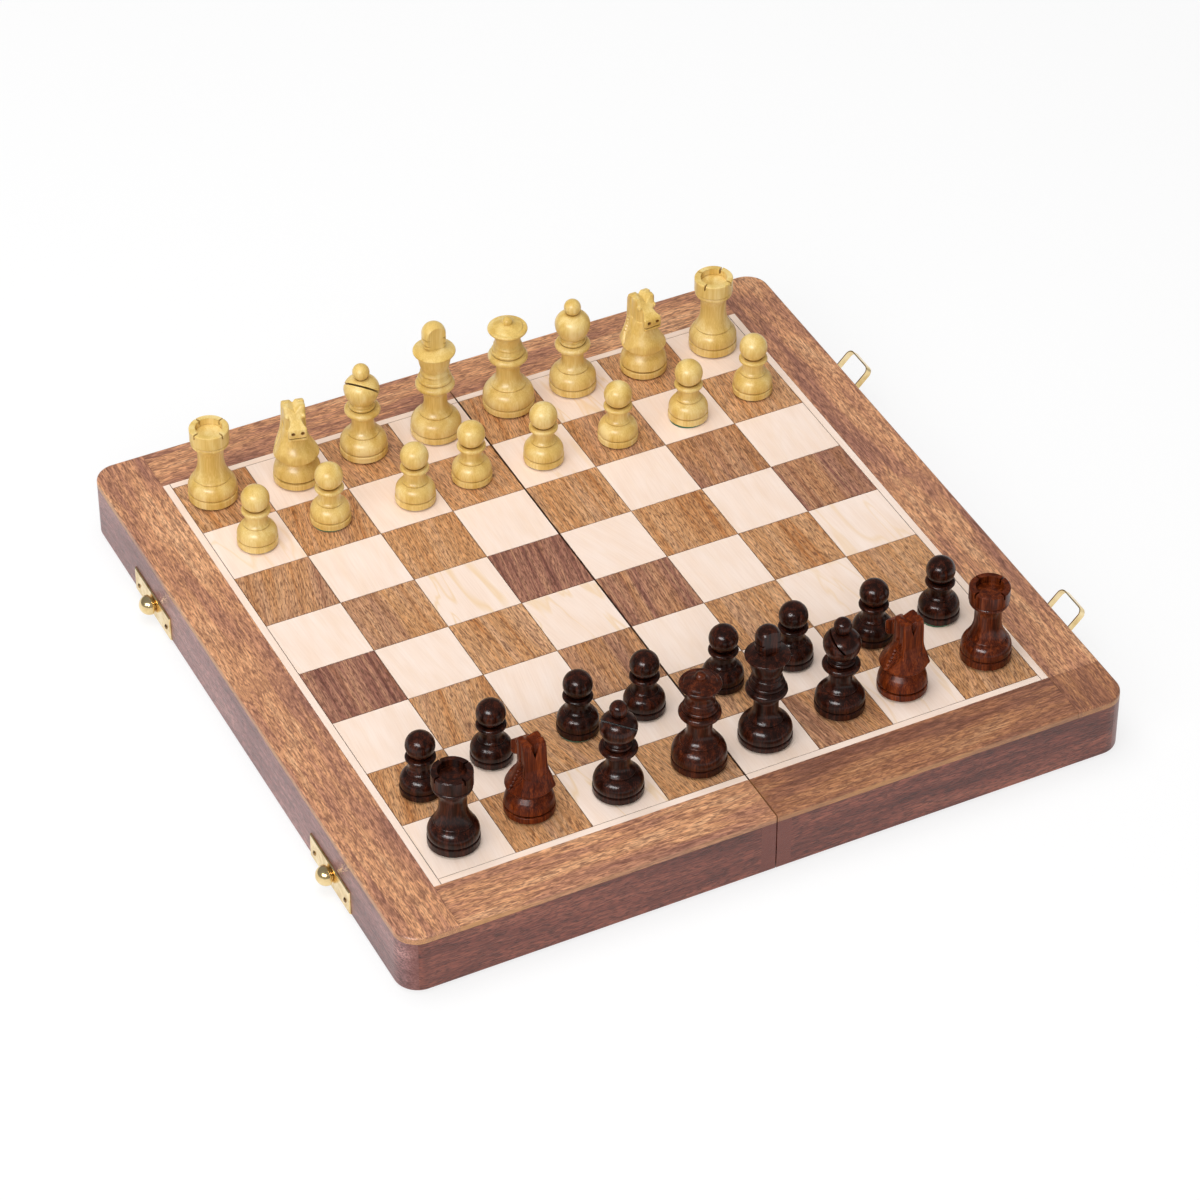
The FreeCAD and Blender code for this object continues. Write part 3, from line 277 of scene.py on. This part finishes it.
def brown_wood(name, along, tones, edge=None, ends=None):
    """Open-pored brown wood for the border, rails and panels.

    along gives the grain's axis, or "border" where the side strips run along Y and the others along X.
    """
    shader = Shader(name, {"IOR": 1.5})
    axes = shader.axes("Object")
    if along == "border":
        on_side = shader.math("GREATER_THAN", shader.math("ABSOLUTE", axes["X"]), STRING_X - JOINT_HALF)
        grain = shader.mix(on_side, shader.grain("X"), shader.grain("Y"))
    else:
        grain = shader.grain(along)
    figure = shader.noise(grain, 14.0, 70.0, 3.0, 0.8)
    stripes = shader.noise(grain, 2.2, 40.0, 2.5, 0.6)
    fibre = shader.noise(grain, 0.55, 4.0, 1.0, 0.3)
    pores = shader.span(shader.noise(grain, 0.55, 2.8, 1.0, 0.4), 0.52, 0.62)
    blend = shader.math("MULTIPLY_ADD", stripes, 0.35, shader.math("MULTIPLY", figure, 0.65))
    colour = shader.ramp(blend, list(zip((0.36, 0.46, 0.54, 0.64), tones)))
    flecks = shader.ramp(fibre, [(0.3, (0.58, 0.54, 0.54, 1)), (0.7, (1.36, 1.36, 1.32, 1))])
    colour = shader.mix(1.0, colour, flecks, "MULTIPLY")
    if along == "border":
        plank = shader.math("MULTIPLY", shader.span(axes["X"], -0.2 * MM, 0.2 * MM),
                            shader.span(axes["Y"], -STRING_Y, -STRING_Y - 0.3 * MM))
        colour = shader.mix(plank, colour, shader.mix(1.0, colour, (0.66, 0.60, 0.56, 1), "MULTIPLY"))
    dark_pore = shader.mix(1.0, tones[0], (0.5, 0.46, 0.46, 1), "MULTIPLY")
    colour = shader.mix(shader.math("MULTIPLY", pores, 0.6), colour, dark_pore)
    # Side faces of the strips turn golden: partly the strips' own edge colour, partly a painted highlight along
    # the rounded top edge.
    if edge:
        upright = shader.math("ABSOLUTE", shader.axes("Normal")["Z"])
        patchy = shader.span(figure, 0.3, 0.7, 0.2, 0.9)
        edge_sheen_and_end_grain = shader.math("MULTIPLY", shader.span(upright, 0.45, 0.15), patchy)
        colour = shader.mix(edge_sheen_and_end_grain, colour, edge)
    else:
        edge_sheen_and_end_grain = shader.math("MULTIPLY", end_grain(shader, along), 0.85 if ends else 0.4)
        colour = shader.mix(edge_sheen_and_end_grain, colour, ends or tones[0])
    height = shader.math("SUBTRACT", shader.math("MULTIPLY", fibre, 0.4), pores)
    shader.bump(height, 0.04 * MM)
    return shader.finish(colour, shader.span(fibre, 0.3, 0.7, 0.30, 0.42))


def boxwood():
    """Pale yellow boxwood under a satin varnish."""
    shader = Shader("light_man_wood", {"Specular IOR Level": 0.25, "Coat Weight": 0.25, "Coat Roughness": 0.22})
    grain = shader.grain("Z")
    figure = shader.noise(grain, 6.0, 40.0, 2.0, 0.6)
    fibre = shader.noise(grain, 0.45, 9.0, 2.5)
    colour = shader.ramp(shader.math("MULTIPLY_ADD", fibre, 0.35, shader.math("MULTIPLY", figure, 0.65)), [
        (0.34, srgb(208, 168, 82)), (0.50, srgb(226, 192, 112)), (0.64, srgb(238, 212, 146)),
    ])
    colour = shader.mix(shader.attribute("pit"), colour, srgb(140, 94, 44))
    # painted shade in the grooves and cuts of the light men
    colour = shader.painted_hollow_shade(colour, 1.2 * MM, srgb(150, 104, 44))
    shader.bump(fibre, 0.012 * MM)
    return shader.finish(*shader.felt_foot(colour, shader.span(fibre, 0.3, 0.7, 0.30, 0.40)))


def dark_lacquer(name, red, coat=0.42, coat_roughness=0.15):
    """Almost black rosewood under a gloss lacquer; red from 0 to 1 lets the wood's colour through."""
    shader = Shader(name, {"Specular IOR Level": 0.05, "Coat Weight": coat, "Coat Roughness": coat_roughness})
    grain = shader.grain("Z")
    figure = shader.noise(grain, 2.2, 30.0, 3.0, 0.5)
    fibre = shader.noise(grain, 0.4, 7.0, 2.5)
    shades = [(12, 4, 3), (28, 10, 7), (66, 28, 17)]
    glow = [(60, 18, 4), (98, 36, 9), (146, 66, 22)]
    blended = [srgb(*(dull + (warm - dull) * red for dull, warm in zip(*pair))) for pair in zip(shades, glow)]
    colour = shader.ramp(shader.math("MULTIPLY_ADD", fibre, 0.45, shader.math("MULTIPLY", figure, 0.55)),
                         list(zip((0.36, 0.50, 0.66), blended)))
    # painted shade in the grooves and cuts of the dark men
    colour = shader.painted_hollow_shade(colour, 1.2 * MM, srgb(9, 4, 3))
    shader.bump(fibre, 0.045 * MM, "Normal", "Coat Normal")
    return shader.finish(*shader.felt_foot(colour, shader.span(fibre, 0.3, 0.7, 0.28, 0.42)))


def brass(name, tones):
    """Polished brass with fine wiped scratches and slightly uneven tarnish."""
    shader = Shader(name, {"Metallic": 1.0})
    grain = shader.grain("Y")
    scratches = shader.noise(grain, 0.12, 5.0, 2.0)
    tarnish = shader.noise(grain, 5.0, 5.0, 3.0)
    colour = shader.ramp(tarnish, list(zip((0.3, 0.5, 0.7), tones)))
    shader.bump(scratches, 0.006 * MM)
    return shader.finish(colour, shader.span(scratches, 0.3, 0.7, 0.14, 0.26))


def steel():
    """Brushed steel sheet."""
    shader = Shader("steel", {"Metallic": 1.0})
    brushed = shader.noise(shader.grain("Y"), 0.1, 12.0, 2.0)
    colour = shader.ramp(brushed, [(0.3, srgb(150, 150, 152)), (0.7, srgb(196, 196, 198))])
    shader.bump(brushed, 0.005 * MM)
    return shader.finish(colour, shader.span(brushed, 0.3, 0.7, 0.28, 0.4))


def green_felt():
    """Pressed green felt with a matt, slightly blotchy nap."""
    shader = Shader("felt", {"Sheen Weight": 0.5, "Sheen Roughness": 0.6, "Specular IOR Level": 0.1})
    grain = shader.grain("Y")
    nap = shader.noise(grain, 0.35, 0.35, 4.0)
    blotches = shader.noise(grain, 9.0, 9.0, 3.0)
    colour = shader.ramp(shader.math("MULTIPLY_ADD", nap, 0.5, shader.math("MULTIPLY", blotches, 0.5)), [
        (0.35, srgb(34, 78, 48)), (0.5, srgb(*FELT_GREEN)), (0.65, srgb(74, 128, 86)),
    ])
    shader.bump(nap, 0.12 * MM)
    return shader.finish(colour, FELT_ROUGHNESS)


def add_object(name, builder, material):
    """Turns a bmesh into an object in the scene."""
    mesh = bpy.data.meshes.new(name)
    builder.to_mesh(mesh)
    builder.free()
    mesh.materials.append(material)
    added = bpy.data.objects.new(name, mesh)
    scene.collection.objects.link(added)
    return added


def new_piece(name, builder, material, body, replaced=()):
    """Turns a bmesh into a piece that rides on a body."""
    piece = add_object(name, builder, material)
    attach(piece, body)
    if replaced:
        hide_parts(*replaced)
    return piece


def close_rings(builder, rings, smooth):
    """Joins rings of points, lowest first, to a closed solid."""
    for below, above in zip(rings, rings[1:]):
        for here in range(len(below)):
            after = (here + 1) % len(below)
            builder.faces.new((below[here], below[after], above[after], above[here])).smooth = smooth
    builder.faces.new(rings[0][::-1])
    builder.faces.new(rings[-1])


class Veneer:
    """Tiles and strips of one wood on one half, each with its own stretch of grain."""

    def __init__(self):
        self.builder = bmesh.new()
        layers = self.builder.verts.layers
        self.grain = layers.float_vector.new("grain")
        self.tone = layers.float.new("tone")
        self.joint = layers.float.new("joint")

    def lay(self, low_x, high_x, low_y, high_y, tone, turn):
        """A tile with eased top edges; turn is the grain's angle from Y, in radians."""
        spin = Matrix.Rotation(turn, 3, "Z")
        offset = Vector([draw.uniform(0, GRAIN_REACH) for _ in range(3)])
        rings = []
        for height, inset, joint in ((TILE_LOW, 0, 1), (TOP - TILE_EASE_DEPTH, 0, 1), (TOP, TILE_EASE, 0)):
            corners = [(low_x + inset, low_y + inset), (high_x - inset, low_y + inset),
                       (high_x - inset, high_y - inset), (low_x + inset, high_y - inset)]
            ring = []
            for x, y in corners:
                vert = self.builder.verts.new((x, y, height))
                vert[self.grain] = spin @ vert.co / MM + offset
                vert[self.tone] = tone
                vert[self.joint] = joint
                ring.append(vert)
            rings.append(ring)
        close_rings(self.builder, rings, smooth=False)


def playing_field(half, dark, light):
    """All tiles and the maple stringing of one half."""
    side = -1 if half == "left" else 1
    dark_tiles = Veneer()
    inlay = Veneer()

    def lay(veneer, near, far, low_y, high_y, tone, turn):
        low_x, high_x = sorted((side * near, side * far))
        veneer.lay(low_x, high_x, low_y, high_y, tone, turn)

    for step in range(HALF_SQUARES):
        column = HALF_SQUARES + step if side > 0 else HALF_SQUARES - 1 - step
        near = NEAR_X + SQUARE * step + JOINT_HALF
        far = NEAR_X + SQUARE * (step + 1) - JOINT_HALF
        for row in range(SQUARES_ACROSS):
            low_y = SQUARE * (row - HALF_SQUARES) + JOINT_HALF
            high_y = low_y + SQUARE - 2 * JOINT_HALF
            turn = math.radians(draw.gauss(0, GRAIN_WANDER))
            if (column + row) % 2:
                tone = HEARTWOOD.get((column, row), draw.uniform(0.0, MOST_HEARTWOOD))
                lay(dark_tiles, near, far, low_y, high_y, tone, turn)
            else:
                figured = draw.uniform(*FIGURED_TONES) if draw.random() < FIGURED_SHARE else PLAIN_TONE
                lay(inlay, near, far, low_y, high_y, figured, turn)

    along_x = math.pi / 2
    lay(inlay, FIELD_X + JOINT_HALF, STRING_X, -STRING_Y, STRING_Y, 0.0, 0.0)
    lay(inlay, NEAR_X, FIELD_X - JOINT_HALF, -STRING_Y, -FIELD_Y - JOINT_HALF, 0.0, along_x)
    lay(inlay, NEAR_X, FIELD_X - JOINT_HALF, FIELD_Y + JOINT_HALF, STRING_Y, 0.0, along_x)

    body = f"{half}_half"
    squares, strips = f"{half}_dark_squares", f"{half}_maple_inlay"
    new_piece(f"{half}_rosewood_tiles", dark_tiles.builder, dark, body, [squares])
    new_piece(f"{half}_maple_tiles", inlay.builder, light, body, [strips])


def lining(half, material):
    """Felt glued inside the tray, with a slightly uneven face."""
    low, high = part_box(f"{half}_lining")
    cells_x, cells_y = 40, 80
    inset = 0.3 * MM
    dip = 0.12 * MM
    builder = bmesh.new()
    size = high - low - Vector((2 * inset, 2 * inset, 0))

    def layer(level, uneven):
        rows = []
        for j in range(cells_y + 1):
            row = []
            for i in range(cells_x + 1):
                x = low.x + inset + size.x * i / cells_x
                y = low.y + inset + size.y * j / cells_y
                row.append(builder.verts.new((x, y, level + uneven * draw.random())))
            rows.append(row)
        return rows

    face = layer(low.z, dip)
    back = layer(high.z, 0.0)
    for j in range(cells_y):
        for i in range(cells_x):
            builder.faces.new((face[j][i], face[j + 1][i], face[j + 1][i + 1], face[j][i + 1]))
            builder.faces.new((back[j][i], back[j][i + 1], back[j + 1][i + 1], back[j + 1][i]))
    left_edges = [[row[0] for row in layer_rows] for layer_rows in (face, back)]
    right_edges = [[row[-1] for row in layer_rows] for layer_rows in (back, face)]
    for outer, inner in (left_edges, right_edges):
        for j in range(cells_y):
            builder.faces.new((outer[j], inner[j], inner[j + 1], outer[j + 1]))
    for outer, inner in ((face[0], back[0]), (back[-1], face[-1])):
        for i in range(cells_x):
            builder.faces.new((outer[i], outer[i + 1], inner[i + 1], inner[i]))
    for polygon in builder.faces:
        polygon.smooth = True
    piece = new_piece(f"{half}_felt_lining", builder, material, f"{half}_half", [f"{half}_lining"])


def smooth_min(first, second, blend):
    """The union of two distance fields with a fillet."""
    overlap = np.clip(0.5 + 0.5 * (second - first) / blend, 0, 1)
    return second + (first - second) * overlap - blend * overlap * (1 - overlap)


def smooth_max(first, second, blend):
    """What two distance fields share, with a rounded edge."""
    return -smooth_min(-first, -second, blend)


def segment_distance(u, v, start, end):
    """Distance in a plane to the segment between two points."""
    along_u, along_v = end[0] - start[0], end[1] - start[1]
    part = ((u - start[0]) * along_u + (v - start[1]) * along_v) / (along_u ** 2 + along_v ** 2)
    part = np.clip(part, 0, 1)
    return np.hypot(u - start[0] - part * along_u, v - start[1] - part * along_v)


def outline_distance(u, v, points):
    """Signed distance in a plane to a closed outline, negative inside."""
    nearest = np.full(np.broadcast(u, v).shape, np.inf)
    inside = np.zeros(nearest.shape, bool)
    for start, end in zip(points, points[1:] + points[:1]):
        nearest = np.minimum(nearest, segment_distance(u, v, start, end))
        if start[1] != end[1]:
            crossing = start[0] + (v - start[1]) * (end[0] - start[0]) / (end[1] - start[1])
            inside ^= ((start[1] > v) != (end[1] > v)) & (u < crossing)
    return np.where(inside, -nearest, nearest)


def ellipsoid(x, y, z, middle, radii):
    """Rough distance to an ellipsoid."""
    scaled = [(axis - centre) / radius for axis, centre, radius in zip((x, y, z), middle, radii)]
    return (np.sqrt(sum(part ** 2 for part in scaled)) - 1) * min(radii)


def beyond(z, stations):
    """Distance outside the heights that a profile spans."""
    return np.maximum(stations[0] - z, z - stations[-1])


def knight_field(cell):
    """The knight facing +X as a distance field in millimetres, and the grid's lowest corner."""
    half_width, lowest, highest = 10.4, 0.1, 38.0
    corner = (-half_width, -half_width, lowest)
    steps = [np.arange(low, high, cell) for low, high in zip(corner, (half_width, half_width, highest))]
    x, y, z = np.meshgrid(*steps, indexing="ij", sparse=True)
    across = np.abs(y)
    reach = np.hypot(x, y)

    # turned foot with its groove and dome
    foot_z = [0.5, 0.9, 3.4, 3.8, 4.1, 4.5, 6.0, 7.5, 8.8, 9.8, 10.6, 12.0]
    foot_r = [9.4, 9.8, 9.8, 8.3, 8.3, 9.7, 9.5, 9.1, 8.4, 7.6, 6.9, 6.6]
    foot = np.maximum(reach - np.interp(z, foot_z, foot_r), beyond(z, foot_z))

    # bell with an overhanging lip, the rounded chest and the upright neck
    bell_z = [10.8, 11.8, 12.5, 13.0, 13.5, 14.2, 16.0, 18.0, 20.0, 23.0, 26.0]
    nape_r = [6.6, 7.0, 8.2, 9.0, 9.3, 9.1, 8.4, 7.5, 6.6, 5.5, 4.6]
    throat_r = [6.6, 7.0, 8.2, 9.0, 9.3, 9.0, 7.8, 6.3, 5.0, 3.8, 3.0]
    lean = np.clip((0.75 * x + 0.65 * y) / 7.0, 0, 1)
    bell_r = np.interp(z, bell_z, nape_r) * (1 - lean) + np.interp(z, bell_z, throat_r) * lean
    bell = np.maximum((reach - bell_r) * 0.85, beyond(z, bell_z))
    chest = np.maximum(ellipsoid(x, y, z, (2.8, 0.0, 14.6), (5.6, 6.2, 4.8)), 12.8 - z)
    ridge_x = 0.91 * x - 0.42 * y
    ridge_y = np.abs(0.42 * x + 0.91 * y)
    front = smooth_min(bell, chest, 1.2)
    front = smooth_max(front, (ridge_x + 0.45 * ridge_y - 9.2) * 0.91, 0.25)
    neck = outline_distance(x, z, [
        (-7.0, 14.0), (2.4, 14.0), (2.4, 19.6), (0.2, 22.0), (-1.6, 25.0), (-1.8, 33.6),
        (1.0, 35.0), (0.8, 36.6), (-1.6, 36.6), (-4.9, 35.6), (-5.5, 34.0), (-5.6, 24.0),
    ])
    set_over = np.interp(z, [14.0, 18.0, 28.0, 36.0], [0.8, 0.9, 0.5, 0.0])
    sides = np.abs(y + set_over) - np.interp(z, [14.0, 18.0, 22.0, 27.0, 36.0], [7.2, 6.0, 5.0, 4.5, 4.3])
    neck = smooth_max(neck, sides, 1.0)
    mane = np.maximum(smooth_max(neck, across - 4.4, 0.4) - 0.4, np.maximum(x + 3.0, 19.6 + 0.09 * y ** 2 - z))
    body = smooth_min(smooth_min(front, neck, 1.2), mane, 0.3)

    # long face from the ears down to the blunt muzzle
    face = outline_distance(x, z, [
        (-2.0, 34.0), (-1.4, 36.4), (0.9, 36.4), (2.0, 34.4), (3.8, 32.0), (5.8, 30.7), (7.6, 29.8),
        (8.2, 28.2), (7.9, 24.7), (6.2, 23.4), (4.2, 24.3), (1.8, 24.4), (-1.0, 25.6), (-2.4, 28.6),
    ])
    cheeks = across - np.interp(x, [-1.0, 0.8, 2.0, 3.6, 5.2, 6.8, 8.2], [4.6, 4.4, 3.5, 2.4, 2.9, 3.9, 3.7])
    head = smooth_max(face, cheeks, 0.8)
    for sign in (-1, 1):
        brow = ellipsoid(x, y, z, (2.2, 3.4 * sign, 32.8), (1.2, 0.8, 1.0))
        head = smooth_min(head, brow, 0.6)
    head = smooth_max(head, -nostrils(x, y, z), 0.2)
    mouth = np.maximum(np.abs(z - 25.9) - 0.2, 6.2 - x)
    head = smooth_max(head, -mouth, 0.25)
    carved = smooth_min(body, head, 0.3)

    # notch between the ears, the wedge cut down the nape and the slanting cuts of the mane
    notch = 34.5 + 0.9 * across - z - 0.1 * x
    carved = smooth_max(carved, -notch, 0.4)
    wedge = np.maximum((across - 0.3 * (z - 29.5)) * 0.96, x + 4.6 + 0.55 * across)
    carved = smooth_max(carved, -wedge, 0.3)
    flank = np.clip((across - 3.0) / 1.0, 0, 1)
    cuts, first_cut, spacing, cut_depth, cut_half_width = 6, 14.2, 1.5, 0.9, 0.6
    for step in range(cuts):
        low = first_cut + spacing * step
        groove = segment_distance(x, z, (-1.2, low), (-4.0, low + 4.2))
        carved = carved + cut_depth * flank * np.clip(1 - groove / cut_half_width, 0, 1)
    return np.minimum(foot, carved), corner


def nostrils(x, y, z):
    """Distance to the two holes drilled in the muzzle."""
    apart, level, flattened, radius, bottom = 1.9, 28.3, 1.2, 0.65, 7.0
    holes = [np.hypot(y - apart * sign, (z - level) * flattened) - radius for sign in (-1, 1)]
    return np.maximum(np.minimum(*holes), bottom - x)


def knight_mesh():
    """The knight's surface, in metres, standing on the playing surface's level at the origin."""
    cell = 0.2
    pit_fade = 0.3
    field, corner = knight_field(cell)
    grid = openvdb.FloatGrid(background=1.0)
    grid.copyFromArray(np.ascontiguousarray(field, dtype=np.float32))
    points, quads = grid.convertToQuads()
    points = points * cell + np.array(corner)
    builder = bmesh.new()
    pit = builder.verts.layers.float.new("pit")
    depths = np.clip(1.0 - nostrils(*points.T) / pit_fade, 0, 1)
    for point, depth in zip(points.tolist(), depths.tolist()):
        builder.verts.new(Vector(point) * MM)[pit] = depth
    builder.verts.ensure_lookup_table()
    for quad in quads.tolist():
        builder.faces.new([builder.verts[index] for index in reversed(quad)]).smooth = True
    return builder


def sculpted_knight(man, master, material):
    """A carved knight in place of the plain one."""
    builder = master.copy()
    turn = Matrix.Rotation(math.radians(KNIGHT_TURNS[man]), 4, "Z")
    centre, _ = foot_circle(man)
    bmesh.ops.transform(builder, matrix=Matrix.Translation(centre) @ turn, verts=builder.verts)
    new_piece(f"{man}_carving", builder, material, man, [man])


def foot_circle(man):
    """Where a man's felt lies on the board, and its radius."""
    foot = [vert.co for vert in nodes[man].data.vertices if vert.co.z < TOP + 0.1 * MM]
    low_x, high_x = min(p.x for p in foot), max(p.x for p in foot)
    low_y, high_y = min(p.y for p in foot), max(p.y for p in foot)
    return Vector(((low_x + high_x) / 2, (low_y + high_y) / 2, TOP)), (high_x - low_x) / 2


def foot_felt(man, material):
    """The felt disc glued under a man's foot, its cut edge a little ragged."""
    ragged = 0.08 * MM
    segments = 64
    centre, radius = foot_circle(man)
    centre += SLIP_DIRECTION * SLIPPED_FELTS.get(man, 0.0) * MM
    builder = bmesh.new()
    rings = []
    for level in (0.02, 0.35, 0.65, 0.98):
        ring = []
        for step in range(segments):
            angle = 2 * math.pi * step / segments
            reach = radius + ragged * draw.uniform(-1, 1)
            edge = centre + Vector((reach * math.cos(angle), reach * math.sin(angle), FELT_THICK * level))
            ring.append(builder.verts.new(edge))
        rings.append(ring)
    close_rings(builder, rings, smooth=True)
    piece = new_piece(f"{man}_felt", builder, material, man)


def dress(material, *names):
    """Gives CAD nodes their finish."""
    for name in names:
        slots = nodes[name].data.materials
        slots.clear()
        slots.append(material)


def area_light(name, place, width, height, radiance):
    """A soft box that faces the board; its power follows from its brightness and size."""
    light = bpy.data.lights.new(name, "AREA")
    light.shape = "RECTANGLE"
    light.size = width
    light.size_y = height
    light.energy = radiance * math.pi * width * height
    lamp = bpy.data.objects.new(name, light)
    scene.collection.objects.link(lamp)
    lamp.location = place
    lamp.rotation_euler = (-Vector(place)).to_track_quat("-Z", "Y").to_euler()
    return lamp


def studio():
    """White floor, white surroundings, soft lights and the photograph's viewpoint."""
    floor_half = 4.0
    floor_shade = (0.24, 0.24, 0.24, 1)
    floor_glow = 0.755
    backdrop_height = 4.0
    backdrop_glow = 1.0
    sky_glow = 0.25
    white = (1, 1, 1, 1)
    matt = {"Roughness": 1.0, "Specular IOR Level": 0.0, "Emission Color": white}

    paper = Shader("white_paper", {**matt, "Base Color": floor_shade, "Emission Strength": floor_glow})
    builder = bmesh.new()
    bmesh.ops.create_grid(builder, x_segments=8, y_segments=8, size=floor_half)
    add_object("floor", builder, paper.material)

    # backdrop that only the camera sees, so that low views end in white too
    screen = Shader("white_backdrop", {**matt, "Base Color": (0, 0, 0, 1), "Emission Strength": backdrop_glow})
    builder = bmesh.new()
    bmesh.ops.create_circle(builder, segments=96, radius=floor_half)
    raised = bmesh.ops.extrude_edge_only(builder, edges=builder.edges[:])["geom"]
    for vert in raised:
        if isinstance(vert, bmesh.types.BMVert):
            vert.co.z += backdrop_height
    backdrop = add_object("backdrop", builder, screen.material)
    backdrop.visible_diffuse = False
    backdrop.visible_glossy = False
    backdrop.visible_shadow = False

    world = bpy.data.worlds.new("surroundings")
    world.use_nodes = True
    sky = world.node_tree.nodes["Background"].inputs
    sky["Color"].default_value = white
    sky["Strength"].default_value = sky_glow
    scene.world = world

    # broad light without hot spots, and a small bright box that only gleams on lacquer and brass
    overhead = area_light("overhead", (-0.2, 0.15, 1.5), width=1.1, height=1.1, radiance=3.8)
    overhead.visible_glossy = False
    soft_box = area_light("soft_box", (-1.19, -1.18, 1.09), width=2.6, height=1.2, radiance=2.8)
    soft_box.visible_glossy = False
    gleam = area_light("gleam", (-1.25, -1.05, 1.15), width=1.2, height=0.45, radiance=20.0)
    gleam.visible_diffuse = False

    camera = bpy.data.objects.new("camera", bpy.data.cameras.new("camera"))
    scene.collection.objects.link(camera)
    camera.location = CAMERA_PLACE
    camera.rotation_euler = (CAMERA_TILT, 0, CAMERA_TURN)
    camera.data.lens = CAMERA_LENS
    camera.data.sensor_width = CAMERA_SENSOR
    scene.camera = camera
    scene.view_settings.view_transform = "Standard"


def dress_board():
    """Finishes of the board, its brass and its linings; gives back the felt, which the men share."""
    # the border's golden edge colour is partly the strips' own and partly a painted highlight
    border = brown_wood("border_wood", "border", [
        srgb(156, 108, 90), srgb(188, 134, 104), srgb(206, 150, 110), srgb(220, 170, 130),
    ], edge=srgb(186, 132, 76))
    rail_tones = [srgb(88, 44, 36), srgb(112, 58, 47), srgb(128, 70, 56), srgb(146, 86, 68)]
    # The side rails are the same wood as the other rails, painted lighter and greyer: a painted sheen and
    # painted light on that side.
    side_tones_painted_sheen = [srgb(116, 76, 74), srgb(140, 97, 95), srgb(156, 111, 108), srgb(172, 127, 122)]
    side = brown_wood("side_rail_wood", "Y", side_tones_painted_sheen, ends=rail_tones[1])
    along_y = brown_wood("rail_wood_along_y", "Y", rail_tones, ends=rail_tones[1])
    along_x = brown_wood("rail_wood_along_x", "X", rail_tones)
    panel = brown_wood("panel_wood", "Y", [
        srgb(176, 136, 92), srgb(200, 162, 116), srgb(212, 178, 134), srgb(224, 194, 152),
    ])
    metal = brass("brass", [srgb(212, 180, 120), srgb(236, 210, 156), srgb(246, 226, 182)])
    dull_metal = brass("tarnished_brass", [srgb(120, 90, 56), srgb(158, 124, 80), srgb(182, 148, 100)])
    plain_steel = steel()
    felt = green_felt()
    dark = dark_square_wood()
    light = maple_wood()
    for half in HALVES:
        dress(border, f"{half}_border_strips")
        dress(side, f"{half}_side_rail")
        dress(along_y, f"{half}_spine_rail")
        dress(along_x, f"{half}_end_rails")
        dress(panel, f"{half}_panel")
        dress(plain_steel, f"{half}_steel_sheet")
        dress(metal, f"{half}_hinge_leaves")
        dress(dull_metal, f"{half}_screws")
        playing_field(half, dark, light)
        lining(half, felt)
    dress(metal, "hinge_pins", "catch_plates", "catch_knobs", "bail_brackets", "front_bail", "rear_bail")
    return felt


def dress_men(felt):
    """Finishes of the men, with the knights carved and felt under every foot."""
    pale = boxwood()
    black = dark_lacquer("dark_man_wood", 0.15)
    red = dark_lacquer("dark_man_wood_red", 0.75)
    wine = dark_lacquer("dark_man_wood_wine", 0.38)
    carved = dark_lacquer("dark_man_wood_carved", 0.9, 0.25, 0.3)
    horse = knight_mesh()
    for man in MEN:
        if man.startswith("light"):
            finish, slot = pale, "light_man_wood"
        else:
            finish, slot = black, "dark_man_wood"
            if "knight" in man:
                finish = carved
            elif "queen" in man:
                finish = wine
            elif man == REDDEST_MAN:
                finish = red
        if "knight" in man:
            sculpted_knight(man, horse, finish)
        else:
            dress(finish, man)
        foot_felt(man, felt)
    horse.free()


felt_material = dress_board()
dress_men(felt_material)
studio()
